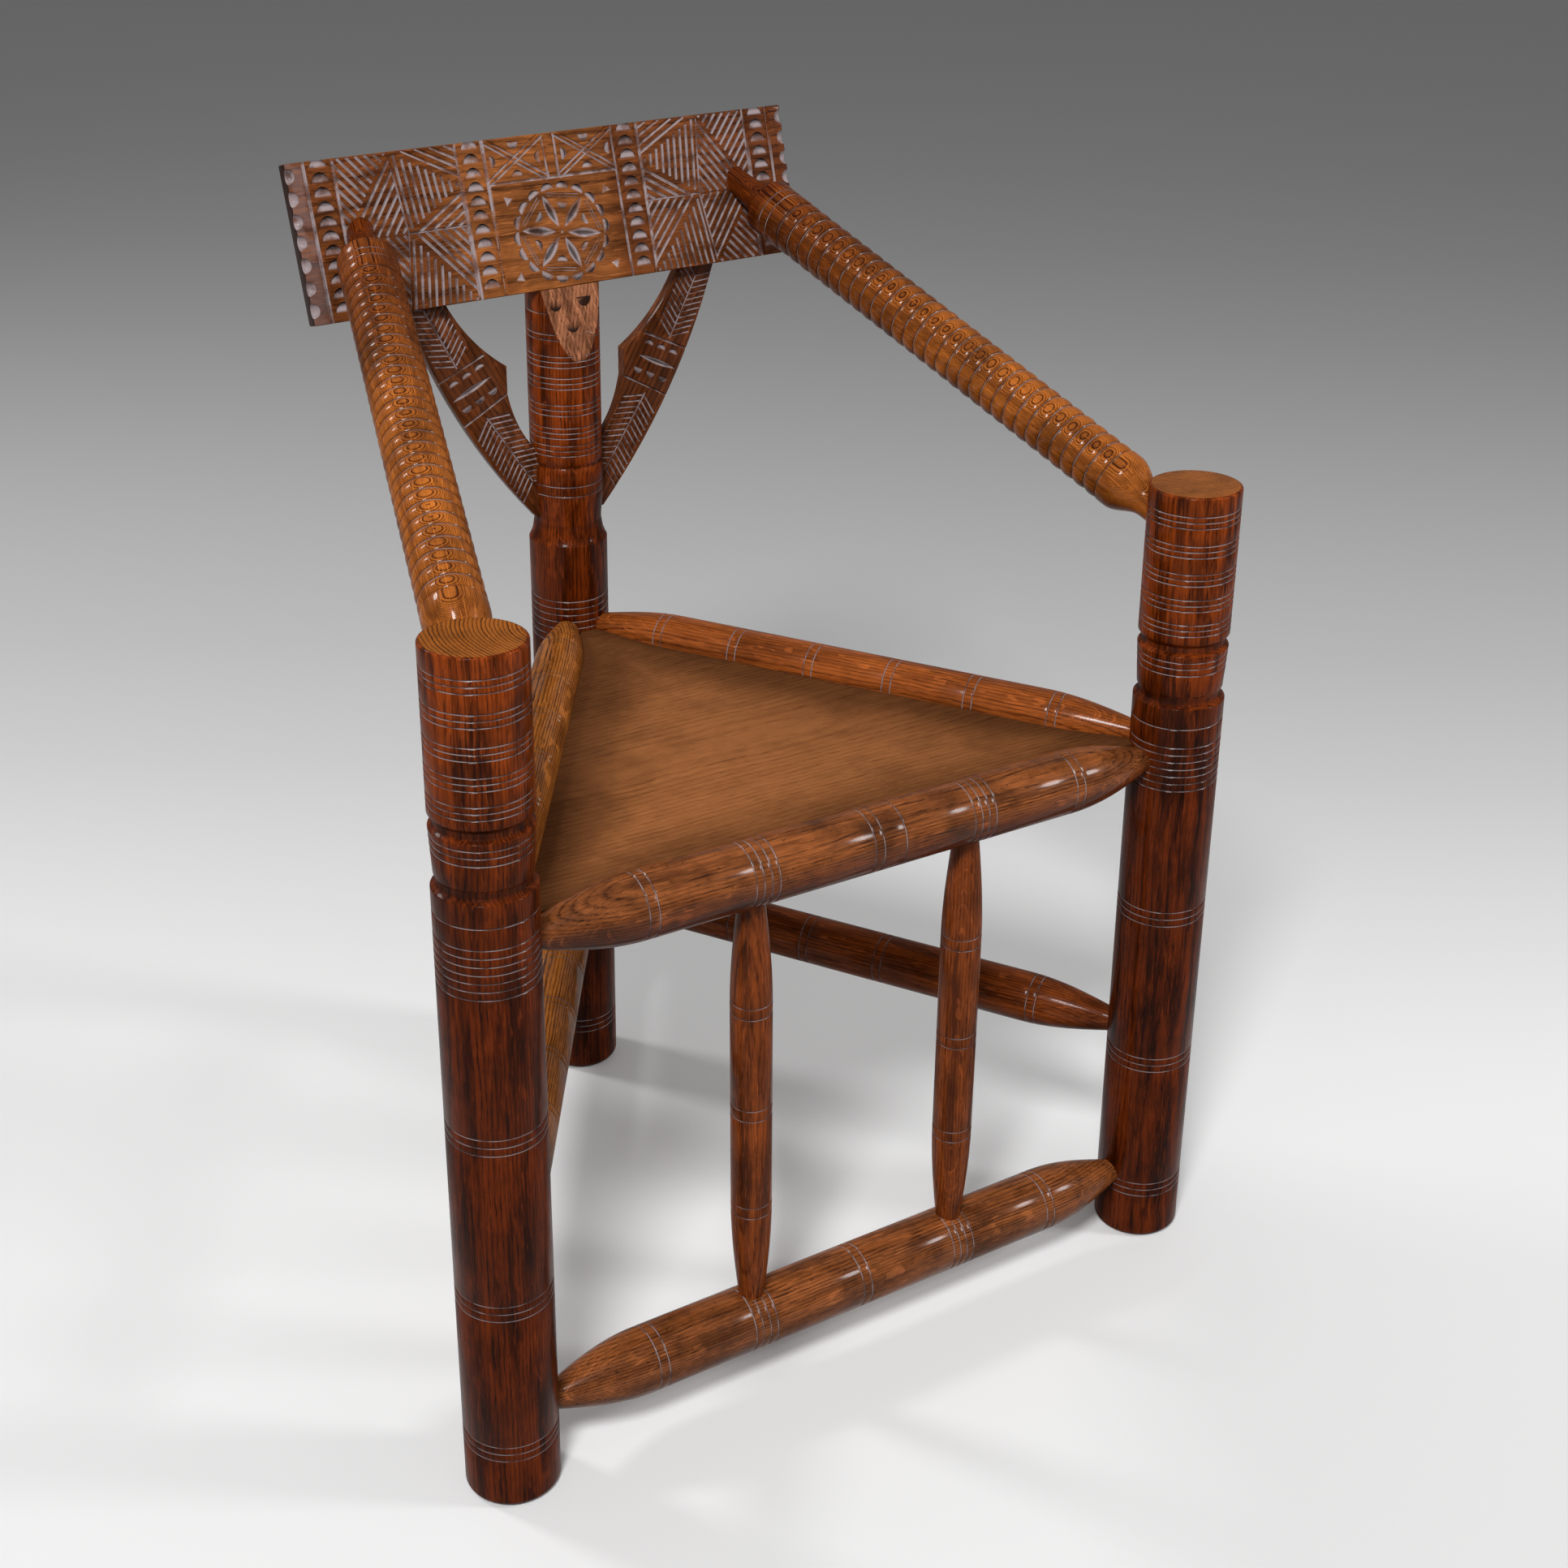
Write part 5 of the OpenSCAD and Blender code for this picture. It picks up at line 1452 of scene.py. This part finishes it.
class ARMCHAIR_OT_crest_board(bpy.types.Operator):
    """Saws the crest board and carves its face"""
    bl_idname = "armchair.crest_board"
    bl_label = "Crest board"

    def execute(self, context):
        carved, arms = context.scene.armchair_carved, context.scene.armchair_arms
        width, height, thick = carved.board_w, carved.board_h, carved.board_t
        bm = new_mesh()
        bmesh.ops.create_cube(bm, size=1.0, matrix=Matrix.Translation((0, 0, -thick / 2))
                              @ Matrix.Diagonal((width, height, thick, 1)))
        bmesh.ops.bevel(bm, geom=bm.edges[:], offset=carved.arris, offset_type="OFFSET", segments=3,
                        profile=0.5, affect="EDGES", material=-1)
        cutters = bmesh.new()
        for side in (LEFT, RIGHT):
            carve_panel(cutters, carved, side)
        carve_frieze(cutters, carved)
        carve_rosette(cutters, carved)
        to_board = board_matrix(context)
        for side in (LEFT, RIGHT):
            start, end = arm_ends(context, side)
            run = (end - start).length
            bore = to_board.inverted() @ axis_matrix(start, end) @ Matrix.Translation((0, 0, run))
            bmesh.ops.create_cone(cutters, cap_ends=True, segments=64, radius1=arms.nose_r + FIT,
                                  radius2=arms.nose_r + FIT, depth=0.08, matrix=bore)
        bm = cut_away(bm, cutters)
        mark_wood(bm, (0.03, -0.115, WOOD_START), GRAIN_ALONG_X)
        mark_depth(bm, Matrix.Identity(4), lambda p: min(width / 2 - abs(p.x), height / 2 - abs(p.y)),
                   carved.arris, DEEP_CUT, end=width / 2 - 6 * MM)
        end_grain = bm.verts.layers.float["end_grain"]
        for vert in bm.verts:
            vert[end_grain] = 1.0 if abs(vert.co.x) > width / 2 - 0.3 * MM else 0.0
        soften(bm, limit=24)
        bm.transform(to_board)
        finish_piece(bm, "crest_board_carved", "crest_board", [carved_oak(context)])
        return {"FINISHED"}


def curve_between(start, end, bow, steps=14):
    """A sweep from one place to another that stands off its chord by a bow."""
    start, end, bow = Vector(start), Vector(end), (Vector(start) + Vector(end)) / 2 + Vector(bow)
    return [(1 - t) ** 2 * start + 2 * t * (1 - t) * bow + t * t * end
            for t in (i / steps for i in range(steps + 1))]


def brace_outline():
    """The sawn outline of a right-hand brace, from its tongue round by the outer edge, in its plane: across
    from the middle of the chair and up from the floor."""
    low_z = 722.67  # where the braces pass behind the board's lower edge
    outer_top, inner_top = (135, low_z), (103, low_z)
    points = [Vector((16.5, 535))]
    points += curve_between((30.5, 535), outer_top, (21, -8))
    points += [Vector(outer_top) + Vector((5, 25)), Vector(inner_top) + Vector((11.25, 25))]
    points += curve_between(inner_top, (52, 663.5), (8, -7))
    points += curve_between((52, 641), (30.5, 594), (5, -6))
    points += [Vector((16.5, 594))]
    return [point * MM for point in points]


def carve_brace(bm):
    """Hatching and chips on a brace's face, in millimetres of its own plane."""
    def line(start, end, width=2.2, depth=1.1, run_out=0.6):
        """One V line."""
        wedge(bm, Vector(start) * MM, Vector(end) * MM, width * MM, depth * MM, run_out * MM)

    def herringbone(start, end, reach, lean, gap=5.2):
        """A spine with slanting lines to both sides of it."""
        start, end = Vector(start), Vector(end)
        along = (end - start).normalized()
        across = Vector((-along.y, along.x))
        line(start, end, 2.0, 1.1)
        for i in range(int((end - start).length / gap) + 1):
            root = start + along * (gap * (i + 0.5))
            for side in (LEFT, RIGHT):
                tip = root + across * side * reach + along * lean
                line(root + across * side * 0.8, tip)

    # A line across the board over and under the chips, which runs out over its edges
    line((71, 675), (113, 655), 2.6, 1.4, -3)
    line((51, 642), (92, 619), 2.6, 1.4, -3)
    herringbone((94, 667), (119, 716), 15, 9)
    herringbone((71, 625), (33, 566), 17, 9)
    rows = ((58, 651), (96, 632.5)), ((67, 667.5), (104, 649.5))
    for (start, end), way in zip(rows, (math.radians(154), math.radians(-26))):
        start, end = Vector(start), Vector(end)
        for i in range(3):
            half_moon(bm, (start + (end - start) * (0.2 + 0.3 * i)) * MM, way, 9 * MM, 5 * MM, 1.7 * MM)
    leaf(bm, Vector((64, 658)) * MM, Vector((101, 640)) * MM, 5.5 * MM, 1.9 * MM)


BRACE_ARRIS = 0.8 * MM  # rounding of a brace's edges
BRACE_SLANT = 29  # degrees by which a brace's grain leans outwards


class ARMCHAIR_OT_braces(bpy.types.Operator):
    """Saws and carves the two braces"""
    bl_idname = "armchair.braces"
    bl_label = "Braces"

    def execute(self, context):
        carved = context.scene.armchair_carved
        for side, pith in ((LEFT, (0.02, 0.06, 4.0)), (RIGHT, (-0.04, 0.05, 5.0))):
            bm = new_mesh()
            face = bm.faces.new([bm.verts.new((side * p.x, p.y, 0)) for p in brace_outline()])
            made = bmesh.ops.extrude_face_region(bm, geom=[face], use_keep_orig=True)["geom"]
            for vert in made:
                if isinstance(vert, bmesh.types.BMVert):
                    vert.co.z = -carved.brace_t
            bmesh.ops.recalc_face_normals(bm, faces=bm.faces)
            rims = [e for e in bm.edges if abs(e.verts[0].co.z - e.verts[1].co.z) < 1e-6]
            bmesh.ops.bevel(bm, geom=rims, offset=BRACE_ARRIS, offset_type="OFFSET", segments=2,
                            profile=0.5, affect="EDGES", material=-1)
            cutters = bmesh.new()
            carve_brace(cutters)
            if side == LEFT:
                bmesh.ops.scale(cutters, vec=(-1, 1, 1), verts=cutters.verts)
            place = Matrix.Translation((0, carved.brace_y, 0)) @ UPRIGHT
            bmesh.ops.transform(cutters, matrix=place, verts=cutters.verts)
            board_space(context, cutters)
            bm.transform(place)
            bm = cut_away(bm, cutters)
            mark_wood(bm, pith, Matrix.Rotation(math.radians(-side * BRACE_SLANT), 4, "Y"))
            mark_depth(bm, place.inverted(), room_in_outline(brace_outline(), side), BRACE_ARRIS, DEEP_CUT)
            soften(bm, limit=24)
            finish_piece(bm, f"brace_carved_{SIDE_NAMES[side]}", f"{SIDE_NAMES[side]}_brace",
                         [carved_oak(context)])
        return {"FINISHED"}


class ARMCHAIR_OT_pegs(bpy.types.Operator):
    """Gives the pegs behind the board their oak"""
    bl_idname = "armchair.pegs"
    bl_label = "Pegs"

    def execute(self, context):
        for name in ("crest_pegs", "brace_pegs"):
            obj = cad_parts[name]
            for slot in obj.material_slots:
                slot.material = peg_oak(context)
        return {"FINISHED"}


# The camera, as fitted to the photo
CAMERA_AT = (-0.74761, -1.28457, 1.13019)
CAMERA_RIGHT, CAMERA_UP = (0.84688, -0.53150, 0.01684), (0.22703, 0.38999, 0.89238)
CAMERA_AHEAD = (0.48088, 0.75193, -0.45095)
LENS, SENSOR = 49.06, 36.0  # in millimetres

# Name, place, size and power in watts of each lamp, all aimed at one place
LAMPS = (("key_lamp", (-1.7, -1.9, 3.2), 0.8, 100), ("fill_lamp", (2.4, -2.0, 2.0), 0.6, 34),
         ("rim_lamp", (-1.6, 2.3, 2.6), 0.6, 30))
LAMPS_AIM = (0, 0, 0.45)
WORLD_LEVEL = 0.28

# Painted light and shade on the floor, bright round the chair and darker behind it: (distance along the view,
# share of the colour)
FLOOR_SHADES = ((-1.0, 0.9), (-0.4, 0.94), (-0.05, 1.0), (0.2, 0.99), (0.5, 0.89), (0.8, 0.77), (1.15, 0.685),
                (1.45, 0.65), (1.8, 0.61), (2.25, 0.56), (2.8, 0.51), (3.55, 0.47), (4.5, 0.45), (9.0, 0.44))
VIEW_ALONG_FLOOR = (0.53877, 0.84245, 0)
BOUNCE = (0.3, 0.3, 0.3)  # the floor's colour for the light that it sends back to the chair


def floor_material(tones):
    """Pale floor with painted light round the chair and painted shade behind it, which also keeps the chair's
    shadow.
    """
    material, tree, shader = new_material("pale_floor")
    place = node(tree, "ShaderNodeTexCoord").outputs["Object"]
    behind = vector_maths(tree, "DOT_PRODUCT", place, {1: VIEW_ALONG_FLOOR}).outputs["Value"]
    first, last = FLOOR_SHADES[0][0], FLOOR_SHADES[-1][0]
    reach = node(tree, "ShaderNodeMapRange", {"Value": behind, "From Min": first,
                                              "From Max": last}).outputs[0]
    shades = node(tree, "ShaderNodeValToRGB", {"Fac": reach})
    stops = shades.color_ramp.elements
    for far, share in FLOOR_SHADES[1:-1]:
        stops.new((far - first) / (last - first))
    for stop, (far, share) in zip(stops, FLOOR_SHADES):
        stop.position = (far - first) / (last - first)
        stop.color = (*(c * share for c in tones.near_floor), 1.0)
    rays = node(tree, "ShaderNodeLightPath").outputs
    seen = maths(tree, "MAXIMUM", maths(tree, "MAXIMUM", rays["Is Camera Ray"], rays["Is Glossy Ray"]),
                 rays["Is Transmission Ray"])
    tree.links.new(mixed(tree, seen, BOUNCE, shades.outputs["Color"]), shader.inputs["Base Color"])
    shader.inputs["Roughness"].default_value = 0.75
    shader.inputs["Specular IOR Level"].default_value = 0.2
    return material


class ARMCHAIR_OT_stage(bpy.types.Operator):
    """Sets the camera, the lamps, the floor and the world"""
    bl_idname = "armchair.stage"
    bl_label = "Stage"

    def execute(self, context):
        camera = bpy.data.objects.new("camera", bpy.data.cameras.new("camera"))
        camera.data.lens, camera.data.sensor_width = LENS, SENSOR
        camera.data.clip_end = 200
        axes = Vector(CAMERA_RIGHT), Vector(CAMERA_UP), -Vector(CAMERA_AHEAD)
        camera.matrix_world = Matrix.Translation(CAMERA_AT) @ Matrix(axes).transposed().to_4x4()
        context.collection.objects.link(camera)
        context.scene.camera = camera

        bm = bmesh.new()
        bmesh.ops.create_grid(bm, x_segments=2, y_segments=2, size=60)
        mesh = bpy.data.meshes.new("floor")
        bm.to_mesh(mesh)
        bm.free()
        floor = bpy.data.objects.new("floor", mesh)
        floor.location.z = -0.0005
        context.collection.objects.link(floor)
        mesh.materials.append(floor_material(context.scene.armchair_tones))

        for name, spot, size, power in LAMPS:
            light = bpy.data.lights.new(name, "AREA")
            light.shape, light.size, light.energy = "DISK", size, power
            obj = bpy.data.objects.new(name, light)
            obj.location = spot
            obj.rotation_euler = (Vector(LAMPS_AIM) - Vector(spot)).to_track_quat("-Z", "Y").to_euler()
            context.collection.objects.link(obj)
        world = bpy.data.worlds.new("studio")
        world.use_nodes = True
        world.node_tree.nodes["Background"].inputs["Color"].default_value = (1, 1, 1, 1)
        world.node_tree.nodes["Background"].inputs["Strength"].default_value = WORLD_LEVEL
        context.scene.world = world
        context.scene.view_settings.view_transform = "Standard"
        return {"FINISHED"}


class ARMCHAIR_PT_panel(bpy.types.Panel):
    """Lists the steps that build the armchair"""
    bl_label = "Turned armchair"
    bl_idname = "ARMCHAIR_PT_panel"
    bl_space_type = "VIEW_3D"
    bl_region_type = "UI"
    bl_category = "Armchair"

    def draw(self, context):
        for step in STEPS:
            self.layout.operator(step.bl_idname)


STEPS = (
    ARMCHAIR_OT_stage, ARMCHAIR_OT_front_posts, ARMCHAIR_OT_back_post, ARMCHAIR_OT_seat_rails,
    ARMCHAIR_OT_stretchers, ARMCHAIR_OT_spindles, ARMCHAIR_OT_seat, ARMCHAIR_OT_arms,
    ARMCHAIR_OT_crest_board, ARMCHAIR_OT_braces, ARMCHAIR_OT_pegs,
)
SETTINGS = (
    ("armchair_posts", PostSizes), ("armchair_rails", RailSizes), ("armchair_arms", ArmSizes),
    ("armchair_carved", CarvedSizes), ("armchair_tones", WoodTones),
)


def register():
    """Adds the settings, the steps and the panel to Blender."""
    for name, kind in SETTINGS:
        bpy.utils.register_class(kind)
        setattr(bpy.types.Scene, name, PointerProperty(type=kind))
    for kind in (*STEPS, ARMCHAIR_PT_panel):
        bpy.utils.register_class(kind)


def unregister():
    """Takes them out again."""
    for kind in reversed((*STEPS, ARMCHAIR_PT_panel)):
        bpy.utils.unregister_class(kind)
    for name, kind in reversed(SETTINGS):
        delattr(bpy.types.Scene, name)
        bpy.utils.unregister_class(kind)


def main():
    """Builds the chair step by step."""
    register()
    for step in STEPS:
        family, name = step.bl_idname.split(".")
        getattr(getattr(bpy.ops, family), name)()


if __name__ == "__main__":
    main()
